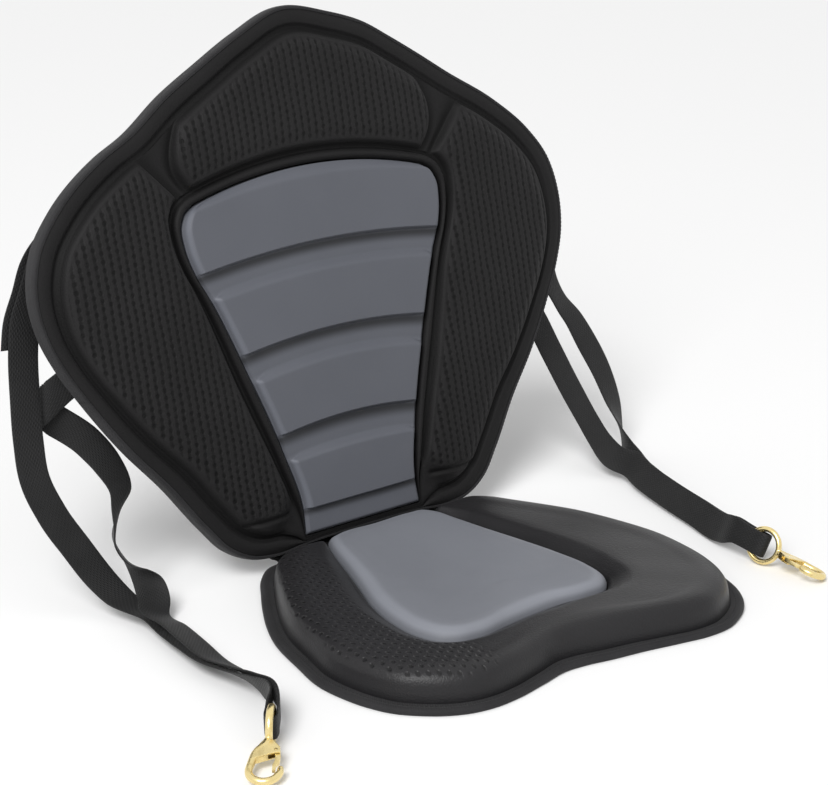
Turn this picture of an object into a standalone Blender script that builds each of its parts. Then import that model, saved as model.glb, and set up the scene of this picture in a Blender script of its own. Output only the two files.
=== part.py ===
# Kayak seat: moulded foam back and base, webbing side straps and two brass snap hooks.
# Frame: +X to the right seen from the front, the front at -Y, +Z up, base on z = 0.
import math

import bmesh
import bpy
import numpy as np
from mathutils import Matrix, Vector

for old in list(bpy.data.objects):
    bpy.data.objects.remove(old, do_unlink=True)

# Driving dimensions, in metres.
GAP = 0.0003
BACK_WIDTH = 0.520
BACK_HEIGHT = 0.423
BACK_TILT = math.radians(14.3)
BACK_LIFT = 0.021
BACK_CORE = 0.012
BACK_COVER = 0.0022
BINDING_WIDTH = 0.0035
BORDER_WIDTH = 0.014
PANEL_RISE = 0.009
RIM_WIDTH = 0.008
LUMBAR_WIDTH = 0.254
LUMBAR_HEIGHT = 0.299
LUMBAR_RISE = 0.0085
CHANNEL_RISE = 0.0035
POCKET_DEPTH = 0.006
POCKET_GAP = 0.0014
BASE_WIDTH = 0.364
BASE_DEPTH = 0.299
BASE_RISE = 0.0275
BASE_REAR_RISE = 0.0085
SHEET = 0.002
FLANGE = 0.011
FLANGE_HEIGHT = 0.006
INSERT_RISE = 0.0275
WEB_WIDTH = 0.025
WEB_THICK = 0.0018
HINGE_WIDTH = 0.174
HINGE_THICK = 0.0014
HOOK_LENGTH = 0.075
EYE_RADIUS = 0.0135
EYE_WIRE = 0.0023
LOOP_WIDTH = 0.026
LOOP_WIRE = 0.0027
HOOK_PITCH = math.radians(10.8)
GATE_LENGTH = 0.0193
GATE_WIDTH = 0.0042
PIN_RADIUS = 0.0009

BACK_STEPS = 92
BASE_STEPS = 78
HUB_BACK = np.array((0.0, 0.355 * BACK_HEIGHT))
HUB_BASE = np.array((0.0, -0.50 * BASE_DEPTH))

# Outlines as shares of the half width and of the height or depth, from the top down or the front back.
BACK_SIDE = (
    (1.0, 0.562), (0.99, 0.487), (0.95, 0.42), (0.888, 0.35), (0.785, 0.251), (0.677, 0.166),
    (0.573, 0.072), (0.504, 0.020), (0.43, -0.007), (0.354, -0.0155), (0.2, -0.010), (0.0, -0.009),
)
BACK_RIGHT = (
    (0.0, 1.010), (0.17, 0.990), (0.30, 0.962), (0.392, 0.928), (0.50, 0.885), (0.60, 0.843),
    (0.775, 0.774), (0.90, 0.706), (0.972, 0.641),
) + BACK_SIDE
BACK_LEFT = (
    (0.0, 1.010), (0.17, 0.972), (0.32, 0.925), (0.46, 0.878), (0.61, 0.815), (0.71, 0.784),
    (0.888, 0.700), (0.965, 0.638),
) + BACK_SIDE
BASE_LEFT = (
    (0.0, -0.925), (0.10, -0.919), (0.25, -0.936), (0.40, -0.952), (0.533, -0.954), (0.637, -0.940),
    (0.725, -0.913), (0.802, -0.876), (0.868, -0.833), (0.925, -0.765), (0.955, -0.70), (0.973, -0.619),
    (0.945, -0.492), (0.90, -0.36), (0.84, -0.27), (0.77, -0.19), (0.69, -0.11), (0.60, -0.03),
    (0.52, 0.012), (0.40, 0.022), (0.0, 0.022),
)
BASE_RIGHT = (
    (0.0, -0.925), (0.11, -0.940), (0.27, -0.957), (0.44, -0.980), (0.593, -0.997), (0.709, -0.993),
    (0.791, -0.973), (0.863, -0.946), (0.923, -0.910), (0.975, -0.860), (1.015, -0.790), (1.042, -0.690),
    (1.046, -0.580), (1.018, -0.468), (0.978, -0.375), (0.923, -0.284), (0.852, -0.201), (0.769, -0.120),
    (0.670, -0.033), (0.571, 0.010), (0.412, 0.022), (0.0, 0.022),
)
INSERT_SIDE = (
    (0.0, -0.732), (0.10, -0.740), (0.22, -0.755), (0.33, -0.762), (0.41, -0.745), (0.465, -0.692),
    (0.49, -0.60), (0.475, -0.48), (0.43, -0.345), (0.385, -0.235), (0.345, -0.13), (0.325, -0.062),
    (0.29, -0.034), (0.22, -0.027), (0.0, -0.027),
)
# Edges of the channel between the top panel and a side panel, in degrees above the hub's level, and how
# far the upper edge climbs towards the rim.
CHANNEL_EDGES = (48.5, 51.4)
CHANNEL_CLIMB = 8.6
CHANNEL_SOFT = 3.4
CHANNEL_RAYS = (45.1, 46.2, 47.4, 48.5, 51.4, 52.5, 53.7, 54.8)
# Half width of the lumbar panel at each height, as shares, from the bottom up.
LUMBAR_SIDE = (
    (0.015, 0.455), (0.09, 0.45), (0.24, 0.52), (0.48, 0.69), (0.71, 0.885), (0.76, 0.94),
    (0.84, 0.99), (0.885, 0.995), (0.918, 0.965), (0.94, 0.905), (0.953, 0.82),
)
# Pads of the lumbar panel: bottom, top, and how far each of those edges bows up in the middle.
PADS = ((0.082, 0.240, 0.0, 0.014), (0.294, 0.474, 0.020, 0.028), (0.528, 0.712, 0.026, 0.030),
        (0.760, 0.953, 0.031, 0.047))


def material(name, colour, rough, metal=0.0):
    mat = bpy.data.materials.new(name)
    mat.use_nodes = True
    shader = mat.node_tree.nodes["Principled BSDF"]
    shader.inputs["Base Color"].default_value = (*colour, 1.0)
    shader.inputs["Roughness"].default_value = rough
    shader.inputs["Metallic"].default_value = metal
    mat.diffuse_color = (*colour, 1.0)
    return mat


FOAM = material("black_moulded_foam", (0.016, 0.016, 0.018), 0.75)
COVER = material("black_rear_fabric", (0.012, 0.012, 0.013), 0.85)
BIND = material("black_binding_tape", (0.022, 0.022, 0.024), 0.7)
GREY = material("grey_smooth_foam", (0.13, 0.135, 0.16), 0.6)
SEAT = material("grey_seat_foam", (0.19, 0.2, 0.225), 0.6)
WEB = material("black_webbing", (0.02, 0.02, 0.021), 0.8)
BRASS = material("polished_brass", (0.80, 0.60, 0.27), 0.25, 1.0)


def add_object(name, points, faces, mat):
    """Makes a solid and turns its faces outwards."""
    mesh = bpy.data.meshes.new(name)
    mesh.from_pydata([tuple(float(c) for c in p) for p in points], [], faces)
    mesh.validate()
    work = bmesh.new()
    work.from_mesh(mesh)
    if work.calc_volume(signed=True) < 0:
        mesh.flip_normals()
    work.free()
    mesh.materials.append(mat)
    obj = bpy.data.objects.new(name, mesh)
    bpy.context.scene.collection.objects.link(obj)
    return obj


def loft(name, rings, mat, closed=False):
    """Skins a list of equal rings; the two ends get a flat cap unless the rings close on themselves."""
    rings = np.asarray(rings, float)
    count, around = rings.shape[:2]
    faces = []
    for i in range(count if closed else count - 1):
        a, b = i * around, (i + 1) % count * around
        faces += [[a + j, a + (j + 1) % around, b + (j + 1) % around, b + j] for j in range(around)]
    if not closed:
        faces.append(list(range(around))[::-1])
        faces.append(list(range((count - 1) * around, count * around)))
    return add_object(name, rings.reshape(-1, 3), faces, mat)


def smooth_curve(points, samples, closed=False, path=3):
    """Smooth curve through the points, sampled on each span; the first few columns are its path."""
    p = np.asarray(points, float)
    if closed:
        p = np.vstack((p[-1], p, p[:2]))
    else:
        p = np.vstack((2 * p[0] - p[1], p, 2 * p[-1] - p[-2]))
    span = np.linalg.norm(np.diff(p[:, :path], axis=0), axis=1)[:, None]
    pace = np.diff(p, axis=0) / span
    slope = (pace[1:] * span[:-1] + pace[:-1] * span[1:]) / (span[1:] + span[:-1])
    t = np.linspace(0, 1, samples, endpoint=False)[:, None]
    out = []
    for i in range(1, len(p) - 2):
        a, b, long = p[i], p[i + 1], span[i]
        out.append((2 * t**3 - 3 * t**2 + 1) * a + (3 * t**2 - 2 * t**3) * b
                   + (t**3 - 2 * t**2 + t) * long * slope[i - 1] + (t**3 - t**2) * long * slope[i])
    if not closed:
        out.append(p[-2:-1])
    return np.vstack(out)


def both_sides(right, left, wide, tall):
    """Closed outline from two halves that run from one end of the centre line to the other."""
    line = np.vstack((right, np.array(left[1:-1])[::-1] * (-1, 1)))
    return smooth_curve(line * (wide / 2, tall), 12, closed=True)


def directions(steps, hub, corners=(), extra=()):
    """Equal directions round the hub, with the nearest moved onto the corners and the extra ones let in."""
    turn = np.arange(steps) * 2 * math.pi / steps - math.pi
    for corner in corners:
        at = math.atan2(corner[1] - hub[1], corner[0] - hub[0])
        turn[np.argmin(np.abs(turn - at))] = at
    if len(extra):
        clear = np.abs(turn[:, None] - extra).min(axis=1) > math.radians(1.3)
        turn = np.sort(np.concatenate((turn[clear], extra)))
    return turn


def radii(outline, hub, want):
    """Distance from the hub to the outline in each wanted direction."""
    arm = outline - hub
    turn = np.arctan2(arm[:, 1], arm[:, 0])
    order = np.argsort(turn)
    return np.interp(want, turn[order], np.hypot(*arm[order].T), period=2 * math.pi)


def polar(hub, radius, turn):
    return np.stack((hub[0] + radius * np.cos(turn), hub[1] + radius * np.sin(turn)), axis=1)


def ease(value, low, high):
    t = np.clip((value - low) / (high - low), 0, 1)
    return t * t * (3 - 2 * t)


def on_back(flat, lift):
    """Puts points of the back's own plane, with their lift towards the sitter, in the world."""
    flat = np.asarray(flat, float)
    lift = np.broadcast_to(lift, flat.shape[:-1])
    s, c = math.sin(BACK_TILT), math.cos(BACK_TILT)
    return np.stack((flat[..., 0], flat[..., 1] * s - lift * c,
                     BACK_LIFT + flat[..., 1] * c + lift * s), axis=-1)


# Lumbar panel

def lumbar_half_width(height):
    line = smooth_curve(LUMBAR_SIDE, 8)
    return np.interp(height, line[:, 0], line[:, 1]) * LUMBAR_WIDTH / 2


def lumbar_rows():
    """Edge height, bow and rise of every row of the panel, from the bottom edge to the top."""
    rows = [(0.015, 0.0, 0.3), (0.02, 0.0, 0.85), (0.04, 0.0, 1.0), (0.074, 0.0, 1.0)]
    pads = []
    for low, high, bow_low, bow_high in PADS:
        top = high > 0.95
        steps = (0.0, 0.012, 0.04, 0.12, 0.3, 0.5, 0.7, 0.84, 0.92, 0.97, 1.0) if top else \
                (0.0, 0.012, 0.04, 0.14, 0.5, 0.84, 0.95, 1.0)
        for share in steps:
            climb = min(ease(share, -0.012, 0.05), ease(1 - share, 0.0 if not top else -0.02, 0.2))
            height = low + (high - low) * share
            pads.append((height, bow_low + (bow_high - bow_low) * share, 1.0 + climb))
    return rows + pads


def lumbar_grid():
    """Rows of points across the panel: flat positions and lifts."""
    edge = np.array((0, 0.0015, 0.004, 0.009, 0.020))
    flat, lift = [], []
    for height, bow, rise in lumbar_rows():
        half = float(lumbar_half_width(height))
        inner = half - edge
        across = np.concatenate((-inner, (-0.5 * half, -0.25 * half, 0.0, 0.25 * half, 0.5 * half),
                                 inner[::-1]))
        v = height * LUMBAR_HEIGHT + bow * LUMBAR_HEIGHT * (1 - (across / half) ** 2)
        side = ease(half - np.abs(across), -0.001, 0.009)
        pad = np.clip(rise - 1, 0, 1) * (0.25 + 0.75 * side)
        base = CHANNEL_RISE * min(rise, 1.0) * (0.35 + 0.65 * ease(half - np.abs(across), -0.0005, 0.003))
        crown = 0.0012 * np.clip(rise - 1, 0, 1) * (1 - (across / half) ** 2)
        flat.append(np.stack((across, v), axis=1))
        lift.append(base + (LUMBAR_RISE - CHANNEL_RISE) * pad + crown)
    return np.array(flat), np.array(lift)


def lumbar_rim_line(grow):
    """The panel's outline, pushed out by a distance."""
    flat, _ = lumbar_grid()
    line = np.vstack((flat[:, -1], flat[-1, ::-1][1:], flat[::-1, 0][1:], flat[0, 1:-1]))
    step = np.roll(line, -1, axis=0) - np.roll(line, 1, axis=0)
    out = np.stack((step[:, 1], -step[:, 0]), axis=1)
    return line + grow * out / np.linalg.norm(out, axis=1, keepdims=True)


def build_lumbar():
    flat, lift = lumbar_grid()
    rows, cols = lift.shape
    top = on_back(flat, lift).reshape(-1, 3)
    edge = [cols - 1 + i * cols for i in range(rows)]
    edge += [rows * cols - 2 - j for j in range(cols - 1)]
    edge += [(rows - 2 - i) * cols for i in range(rows - 1)]
    edge += list(range(1, cols - 1))
    floor = on_back(flat.reshape(-1, 2)[edge], -POCKET_DEPTH + GAP)
    faces = [[i * cols + j, i * cols + j + 1, (i + 1) * cols + j + 1, (i + 1) * cols + j]
             for i in range(rows - 1) for j in range(cols - 1)]
    count, base = len(edge), rows * cols
    faces += [[edge[k], base + k, base + (k + 1) % count, edge[(k + 1) % count]] for k in range(count)]
    faces.append([base + k for k in range(count)][::-1])
    add_object("lumbar_panel", np.vstack((top, floor)), faces, GREY)


# Back

def degrees_up(turn):
    """Angle of each direction above the hub's level, alike on both sides."""
    return np.degrees(np.arctan2(np.sin(turn), np.abs(np.cos(turn))))


def channel_lean(turn):
    """How far each column of the mesh leans inwards at the rim, which rounds the top panel's ends."""
    up = degrees_up(turn)
    low, high = CHANNEL_EDGES
    lean = CHANNEL_CLIMB * ease(up, low, high) * (1 - ease(up, high + CHANNEL_SOFT, 89))
    return np.radians(lean) * np.sign(np.cos(turn))


def panel_height(share, turn, room):
    """Rise of the raised panels: one above and one on each side, with channels between them."""
    rise = np.minimum(ease(share, 0.0, 0.14), ease(1 - share, 0.0, 0.14))
    crown = 0.80 + 0.20 * np.sin(math.pi * share)
    up = degrees_up(turn)
    away = np.maximum(up - CHANNEL_EDGES[1], CHANNEL_EDGES[0] - up)
    return PANEL_RISE * rise * crown * ease(away, 0.0, CHANNEL_SOFT) * ease(room, 0.02, 0.05)


def back_edges(turn):
    """Radius of the pocket's wall and of the shell's edge in each direction, and how tight it is between."""
    inner = radii(lumbar_rim_line(POCKET_GAP), HUB_BACK, turn)
    outer = radii(both_sides(BACK_RIGHT, BACK_LEFT, BACK_WIDTH, BACK_HEIGHT), HUB_BACK, turn)
    shell = outer - BINDING_WIDTH - GAP
    return inner, shell, np.minimum(1.0, (shell - inner) / 0.055)


def build_back():
    pocket = lumbar_rim_line(POCKET_GAP)
    rays = np.radians(CHANNEL_RAYS)
    turn = directions(BACK_STEPS, HUB_BACK, (pocket[0], pocket[0] * (-1, 1)),
                      np.concatenate((rays, math.pi - rays)))
    lean = channel_lean(turn)
    inner, _, squeeze = back_edges(turn)
    rings = [(turn, inner, np.full_like(turn, -POCKET_DEPTH))]
    bead = ((0.0, 0.0), (0.12, 0.0030), (0.5, 0.0046), (0.88, 0.0030), (1.0, -0.0008), (1.2, -0.0014),
            (1.4, 0.0006))
    for across, rise in bead:
        rings.append((turn, inner + across * RIM_WIDTH * squeeze, rise * squeeze + 0.0008))
    border = BORDER_WIDTH - BINDING_WIDTH
    for share in (0.03, 0.075, 0.14, 0.3, 0.5, 0.7, 0.86, 0.925, 0.97):
        bent = turn + lean * share**3
        inner, shell, squeeze = back_edges(bent)
        start = inner + 1.4 * RIM_WIDTH * squeeze
        end = shell - (border + 0.006) * squeeze
        rise = panel_height(share, turn, end - start)
        rings.append((bent, start + (end - start) * share, 0.0014 + rise))
    turn = turn + lean
    _, shell, squeeze = back_edges(turn)
    for back_in, rise in ((0.006, 0.001), (0.003, -0.0016), (0.0, 0.0012)):
        rings.append((turn, shell - (border + back_in) * squeeze, np.full_like(turn, rise)))
    rings.append((turn, shell - 0.35 * border * squeeze, np.full_like(turn, 0.0016)))
    rings.append((turn, shell, np.full_like(turn, 0.0008)))
    rings.append((turn, shell, np.full_like(turn, -BACK_CORE)))
    loft("back_shell", [on_back(polar(HUB_BACK, r, at), n) for at, r, n in rings], FOAM)

    rear = -BACK_CORE - GAP
    deep = rear - BACK_COVER
    loft("back_rear_cover", [on_back(polar(HUB_BACK, shell, turn), n) for n in (rear, deep)], COVER)
    tape = ((-BINDING_WIDTH, deep), (-0.4 * BINDING_WIDTH, deep), (0.0, deep + 0.0022), (0.0, -0.0012),
            (-BINDING_WIDTH, 0.0016))
    outer = shell + BINDING_WIDTH + GAP
    loft("back_binding", [on_back(polar(HUB_BACK, outer + r, turn), n) for r, n in tape], BIND,
         closed=True)


# Base

def base_points(hub, radius, turn, height):
    return np.column_stack((polar(hub, radius, turn), np.broadcast_to(height, turn.shape)))


def rear_fade(y):
    return ease(y, -0.068 * BASE_DEPTH, -0.034 * BASE_DEPTH)


def build_base():
    turn = directions(BASE_STEPS, HUB_BASE)
    outer = radii(both_sides(BASE_RIGHT, BASE_LEFT, BASE_WIDTH, BASE_DEPTH), HUB_BASE, turn)
    inner = radii(both_sides(INSERT_SIDE, INSERT_SIDE, BASE_WIDTH, BASE_DEPTH), HUB_BASE, turn)
    foot = outer - FLANGE - GAP
    room = foot - inner
    squeeze = np.minimum(1.0, room / 0.06)
    floor = SHEET + GAP

    def ring(radius, height):
        y = polar(HUB_BASE, radius, turn)[:, 1]
        low = np.minimum(height, BASE_REAR_RISE)
        return base_points(HUB_BASE, radius, turn, low + (height - low) * (1 - rear_fade(y)))

    pocket = inner + POCKET_GAP
    rings = [ring(pocket, SHEET + 0.0035)]
    for across, drop in ((0.0, 0.0110), (0.002, 0.0085), (0.005, 0.0070), (0.010, 0.0043), (0.017, 0.0013)):
        rings.append(ring(pocket + across * squeeze, BASE_RISE - drop))
    for back_in, drop in ((0.030, 0.0003), (0.018, 0.0), (0.0115, 0.0010), (0.0065, 0.0035),
                          (0.003, 0.0080), (0.0012, 0.0145), (0.0, BASE_RISE - FLANGE_HEIGHT + 0.0015)):
        rings.append(ring(foot - back_in * squeeze, BASE_RISE - drop))
    rings.append(base_points(HUB_BASE, foot, turn, floor))
    loft("base_shell", rings, FOAM)
    loft("base_underside", [base_points(HUB_BASE, foot, turn, z) for z in (SHEET, 0.0)], COVER)
    tape = ((-FLANGE, 0.0), (-0.0012, 0.0), (0.0, 0.0024), (-0.002, FLANGE_HEIGHT), (-FLANGE, FLANGE_HEIGHT))
    loft("base_binding", [base_points(HUB_BASE, outer + r, turn, z) for r, z in tape], BIND,
         closed=True)
    build_insert(inner[::2], turn[::2])


def build_insert(edge, turn):
    rings = []
    for radius, height in ((0.0, 0.012), (0.0, 0.0205), (0.0012, 0.0232), (0.004, 0.0252),
                           (0.010, 0.0266), (0.026, INSERT_RISE), (0.055, INSERT_RISE)):
        rings.append(base_points(HUB_BASE, np.maximum(edge - radius, 0.3 * edge), turn, height))
    rings[0][:, 2] = SHEET + 0.0035 + GAP
    loft("base_insert", rings[::-1], SEAT)


# Hinge strip behind the seat

def ribbon_mesh(name, centres, wides, width, thick, mat):
    """Flat band along a centre line; each centre has its own line across, which may be slanted."""
    centres = np.asarray(centres, float)
    tangent = np.gradient(centres, axis=0)
    tangent /= np.linalg.norm(tangent, axis=1, keepdims=True)
    normal = np.cross(tangent, np.asarray(wides, float))
    wides = wides / np.linalg.norm(normal, axis=1, keepdims=True)
    normal /= np.linalg.norm(normal, axis=1, keepdims=True)
    half = np.broadcast_to(width, (len(centres),))[:, None] / 2
    rings = np.stack([centres + a * half * wides + b * thick / 2 * normal
                      for a, b in ((-1, -1), (1, -1), (1, 1), (-1, 1))], axis=1)
    faces = [[3, 2, 1, 0], [4 * len(centres) - 4 + j for j in range(4)]]
    for a in range(0, 4 * len(centres) - 4, 4):
        b = a + 4
        faces += [[a, a + 1, b + 1], [a, b + 1, b], [a + 2, a + 3, b + 2], [a + 3, b + 3, b + 2],
                  [a + 1, a + 2, b + 2, b + 1], [a + 3, a, b, b + 3]]
    return add_object(name, rings.reshape(-1, 3), faces, mat)


def build_hinge():
    back = -BACK_CORE - GAP - BACK_COVER - GAP - HINGE_THICK / 2
    z = BASE_REAR_RISE + GAP + HINGE_THICK / 2
    up = on_back(np.array([(0, 0.036), (0, 0.020), (0, 0.004), (0, -0.0075)]), back)
    low = np.array([(0, up[-1][1] - 0.0016, z - 0.0009), (0, up[-1][1] - 0.0040, z - 0.0010), (0, 0.004, z),
                    (0, -0.006, z)])
    line = smooth_curve(np.vstack((up, low)), 3)
    ribbon_mesh("hinge_strip", line, np.tile((1.0, 0, 0), (len(line), 1)), HINGE_WIDTH, HINGE_THICK, COVER)


# Snap hooks

def hook_frame(side):
    """Eye centre and directions of a hook: along it, across its loop, and out of its plane."""
    place_at = (-0.970, -0.782) if side < 0 else (0.909, -0.763)
    eye = np.array((place_at[0] * BACK_WIDTH / 2, place_at[1] * BASE_DEPTH, EYE_RADIUS + EYE_WIRE + 0.0002))
    heading = math.radians(229.8 if side < 0 else 279)
    roll = math.radians(180 if side < 0 else 20)
    flat = np.array((math.cos(heading), math.sin(heading), 0))
    up = np.array((0, 0, 1.0))
    along = flat * math.cos(HOOK_PITCH) - up * math.sin(HOOK_PITCH)
    out = flat * math.sin(HOOK_PITCH) + up * math.cos(HOOK_PITCH)
    across = np.cross(along, out)
    return eye, along, across * math.cos(roll) + out * math.sin(roll), \
        out * math.cos(roll) - across * math.sin(roll)


def place(points, frame):
    """Takes hook points (across, along, out) to the world."""
    eye, along, across, out = frame
    p = np.asarray(points, float)
    return eye + p[..., :1] * across + p[..., 1:2] * along + p[..., 2:] * out


def tube_rings(line, radius, sides, upright=(0, 0, 1.0), flat=1.0):
    """Rings round a line; flat squeezes the section along the upright direction."""
    line = np.asarray(line, float)
    radius = np.broadcast_to(radius, (len(line),))
    tangent = np.gradient(line, axis=0)
    tangent /= np.linalg.norm(tangent, axis=1, keepdims=True)
    up = np.broadcast_to(np.asarray(upright, float), line.shape)
    up = up - tangent * (up * tangent).sum(axis=1, keepdims=True)
    up /= np.linalg.norm(up, axis=1, keepdims=True)
    beside = np.cross(up, tangent)
    turn = (np.arange(sides) + 0.5) * 2 * math.pi / sides
    return np.stack([line + radius[:, None] * (math.cos(t) * beside + flat * math.sin(t) * up)
                     for t in turn], axis=1)


def join(target, others):
    """Adds the other solids to the target with exact booleans, and leaves them as hidden cutters."""
    for obj, mode in others:
        mod = target.modifiers.new(obj.name, "BOOLEAN")
        mod.operation, mod.solver, mod.object = mode, "EXACT", obj
        obj.hide_render = True
        obj.display_type = "WIRE"


def set_origin(obj, point):
    """Puts an object's origin on a point and leaves its mesh where it is."""
    point = Vector([float(c) for c in point])
    obj.data.transform(Matrix.Translation(-point))
    obj.location = point


HINGE_AT = (0.0060, EYE_RADIUS + 0.0132)
MOUTH_END = HOOK_LENGTH - EYE_RADIUS - EYE_WIRE


def loop_line():
    """Middle line of the hook's bend, from the neck down the spine and round to the nose."""
    half = LOOP_WIDTH / 2 - LOOP_WIRE
    tip = MOUTH_END - LOOP_WIRE
    low = tip - half
    turn = np.linspace(math.pi, 0.12 * math.pi, 9)[:, None]
    arc = np.hstack((half * np.cos(turn), low + half * np.sin(turn)))
    neck = np.array(((0.0, EYE_RADIUS + 0.001), (-0.0012, EYE_RADIUS + 0.006),
                     (-0.0062, EYE_RADIUS + 0.0125), (-0.0097, low - 0.006)))
    nose = np.array(((half + 0.0004, low + 0.0005), (half + 0.0003, low - 0.0028)))
    line = smooth_curve(np.vstack((neck, arc, nose)), 2)
    return np.column_stack((line, np.zeros(len(line))))


def build_hook(side, label):
    frame = hook_frame(side)
    line = loop_line()
    share = np.linspace(0, 1, len(line))
    thick = LOOP_WIRE * (1.0 + 0.25 * ease(0.25 - share, 0, 0.2) - 0.18 * ease(share, 0.85, 1.0))
    body = loft(label + "_hook_body", place(tube_rings(line, thick, 8), frame), BRASS)
    turn = np.linspace(0, 2 * math.pi, 24, endpoint=False)
    ring = np.column_stack((np.zeros(24), EYE_RADIUS * np.sin(turn), EYE_RADIUS * np.cos(turn)))
    spoke = ring / EYE_RADIUS
    sideways = np.array((1.15, 0, 0))
    wire = np.stack([ring + EYE_WIRE * (math.cos(t) * spoke + math.sin(t) * sideways)
                     for t in np.arange(8) * math.pi / 4], axis=1)
    eye = loft(label + "_eye_tool", place(wire, frame), BRASS, closed=True)
    neck, hinge = EYE_RADIUS + 0.0030, HINGE_AT[1]
    web = np.array(((-0.0030, neck), (0.0030, neck), (0.0086, hinge - 0.0030), (0.0094, hinge + 0.0026),
                    (0.0050, hinge + 0.0035), (-0.0098, hinge + 0.0105), (-0.0088, hinge + 0.001)))
    plates = [np.column_stack((web, np.full(len(web), z))) for z in (-0.0029, 0.0029)]
    shoulder = loft(label + "_shoulder_tool", place(plates, frame), BRASS)
    slot = np.array(((0.0012, hinge - 0.0048), (0.0115, hinge - 0.0048), (0.0115, hinge + 0.0060),
                     (0.0012, hinge + 0.0060)))
    cut = GATE_WIDTH / 2 - 0.0004
    slots = [np.column_stack((slot, np.full(4, z))) for z in (-cut, cut)]
    slot_tool = loft(label + "_slot_tool", place(slots, frame), BRASS)
    bore = pin_rings(PIN_RADIUS + GAP, 0.0060, 12)
    bore_tool = loft(label + "_bore_tool", place(bore, frame), BRASS)
    join(body, ((eye, "UNION"), (shoulder, "UNION"), (slot_tool, "DIFFERENCE"), (bore_tool, "DIFFERENCE")))
    build_gate(label, frame, cut)


def pin_rings(radius, length, sides):
    turn = np.arange(sides) * 2 * math.pi / sides
    flat = np.column_stack((HINGE_AT[0] + radius * np.cos(turn), HINGE_AT[1] + radius * np.sin(turn)))
    return [np.column_stack((flat, np.full(sides, z))) for z in (-length / 2, length / 2)]


def build_gate(label, frame, cut):
    loft(label + "_gate_pin", place(pin_rings(PIN_RADIUS, 0.0058, 12), frame), BRASS)
    half = cut - GAP
    hinge, end = HINGE_AT[1], HINGE_AT[1] + GATE_LENGTH
    reach = LOOP_WIDTH / 2 - 2 * LOOP_WIRE
    side = np.array(((HINGE_AT[0] + 0.0022, hinge - 0.0014), (HINGE_AT[0] + 0.0024, hinge + 0.002),
                     (reach - 0.0002, hinge + 0.45 * GATE_LENGTH), (reach - 0.0004, end)))
    inner = side[::-1] - np.array(((0.0013, 0.0), (0.0013, 0.0), (0.0026, 0.0), (0.0040, -0.0008)))
    outline = np.vstack((side, inner))
    body = loft(label + "_gate", place([np.column_stack((outline, np.full(len(outline), z)))
                                        for z in (-half, half)], frame), BRASS)
    bore = loft(label + "_gate_bore_tool", place(pin_rings(PIN_RADIUS + GAP, 0.008, 12), frame), BRASS)
    join(body, ((bore, "DIFFERENCE"),))
    set_origin(body, place((*HINGE_AT, 0.0), frame))


# Webbing straps

def heading_vector(turn, tilt=0.0):
    turn, tilt = math.radians(turn), math.radians(tilt)
    return np.array((math.cos(turn) * math.cos(tilt), math.sin(turn) * math.cos(tilt), math.sin(tilt)))


def strand(rows):
    """Centres and directions across the webbing."""
    size = np.array((BACK_WIDTH / 2, BASE_DEPTH, BACK_HEIGHT))
    return [np.array(row[:3]) * size for row in rows], [heading_vector(*row[3:5]) for row in rows]


# Rows of a strand: place as shares of the half width, the base's depth and the back's height,
# then the heading and the tilt of its width in degrees.
LEFT_UPPER = (
    (-1.023, 0.237, 0.3972, 0, 0), (-1.042, 0.201, 0.3262, 0, 0), (-1.050, 0.167, 0.2648, 0, 0),
    (-1.019, 0.137, 0.1986, 0, 0), (-0.962, 0.104, 0.1277, 0, 0), (-0.904, 0.060, 0.0603, 0, 0),
    (-0.877, 0.020, 0.0343, 0, -4), (-0.854, -0.027, 0.0225, 0, -10),
)
LEFT_LOWER = (
    (-0.804, -0.033, 0.0414, -15, -10), (-0.781, 0.017, 0.0567, -38, 0), (-0.788, 0.043, 0.0733, -62, 0),
    (-0.823, 0.067, 0.0898, -92, 0), (-0.846, 0.090, 0.1253, -114, 0), (-0.819, 0.114, 0.1631, -128, 0),
    (-0.781, 0.144, 0.2080, -158, 0), (-0.800, 0.177, 0.2530, -172, -16), (-0.842, 0.207, 0.2955, -180, -36),
)
RIGHT_UPPER = (
    (1.050, 0.281, 0.3830, 18, 0), (1.085, 0.264, 0.3357, 24, 0), (1.135, 0.244, 0.2884, 12, 0),
    (1.169, 0.214, 0.2364, 2, 0), (1.196, 0.167, 0.1726, 4, -4), (1.192, 0.110, 0.1158, 14, -14),
    (1.173, 0.067, 0.0851, 26, -34), (1.142, 0.017, 0.0615, 44, -56), (1.104, -0.040, 0.0449, 100, -68),
)
RIGHT_LOWER = (
    (1.046, -0.033, 0.0426, 170, -26), (1.042, 0.020, 0.0662, 176, -6), (1.031, 0.074, 0.1087, 180, 0),
    (1.000, 0.127, 0.1749, 180, 0), (0.965, 0.174, 0.2459, 180, 0), (0.923, 0.207, 0.3144, 184, -8),
)
# Both strands together, with their distance apart in millimetres at the end of each row.
LEFT_BOTH = (
    (-0.838, -0.087, 0.0236, 0, -18, 4.4), (-0.842, -0.174, 0.0213, 0, -20, 7),
    (-0.853, -0.281, 0.0225, 0, -20, 6), (-0.864, -0.404, 0.0250, 0, -24, 3.6),
    (-0.848, -0.502, 0.0270, 0, -36, 3.4), (-0.857, -0.592, 0.0335, 0, -60, 3.6),
)
RIGHT_BOTH = (
    (1.062, -0.107, 0.0343, 165, -50, 7.5), (1.027, -0.194, 0.0319, 165, -51, 4.6),
    (0.988, -0.328, 0.0303, 166, -52, 3),
    (0.954, -0.468, 0.0303, 168, -58, 3), (0.918, -0.594, 0.0331, 172, -66, 3.6),
)
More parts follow.
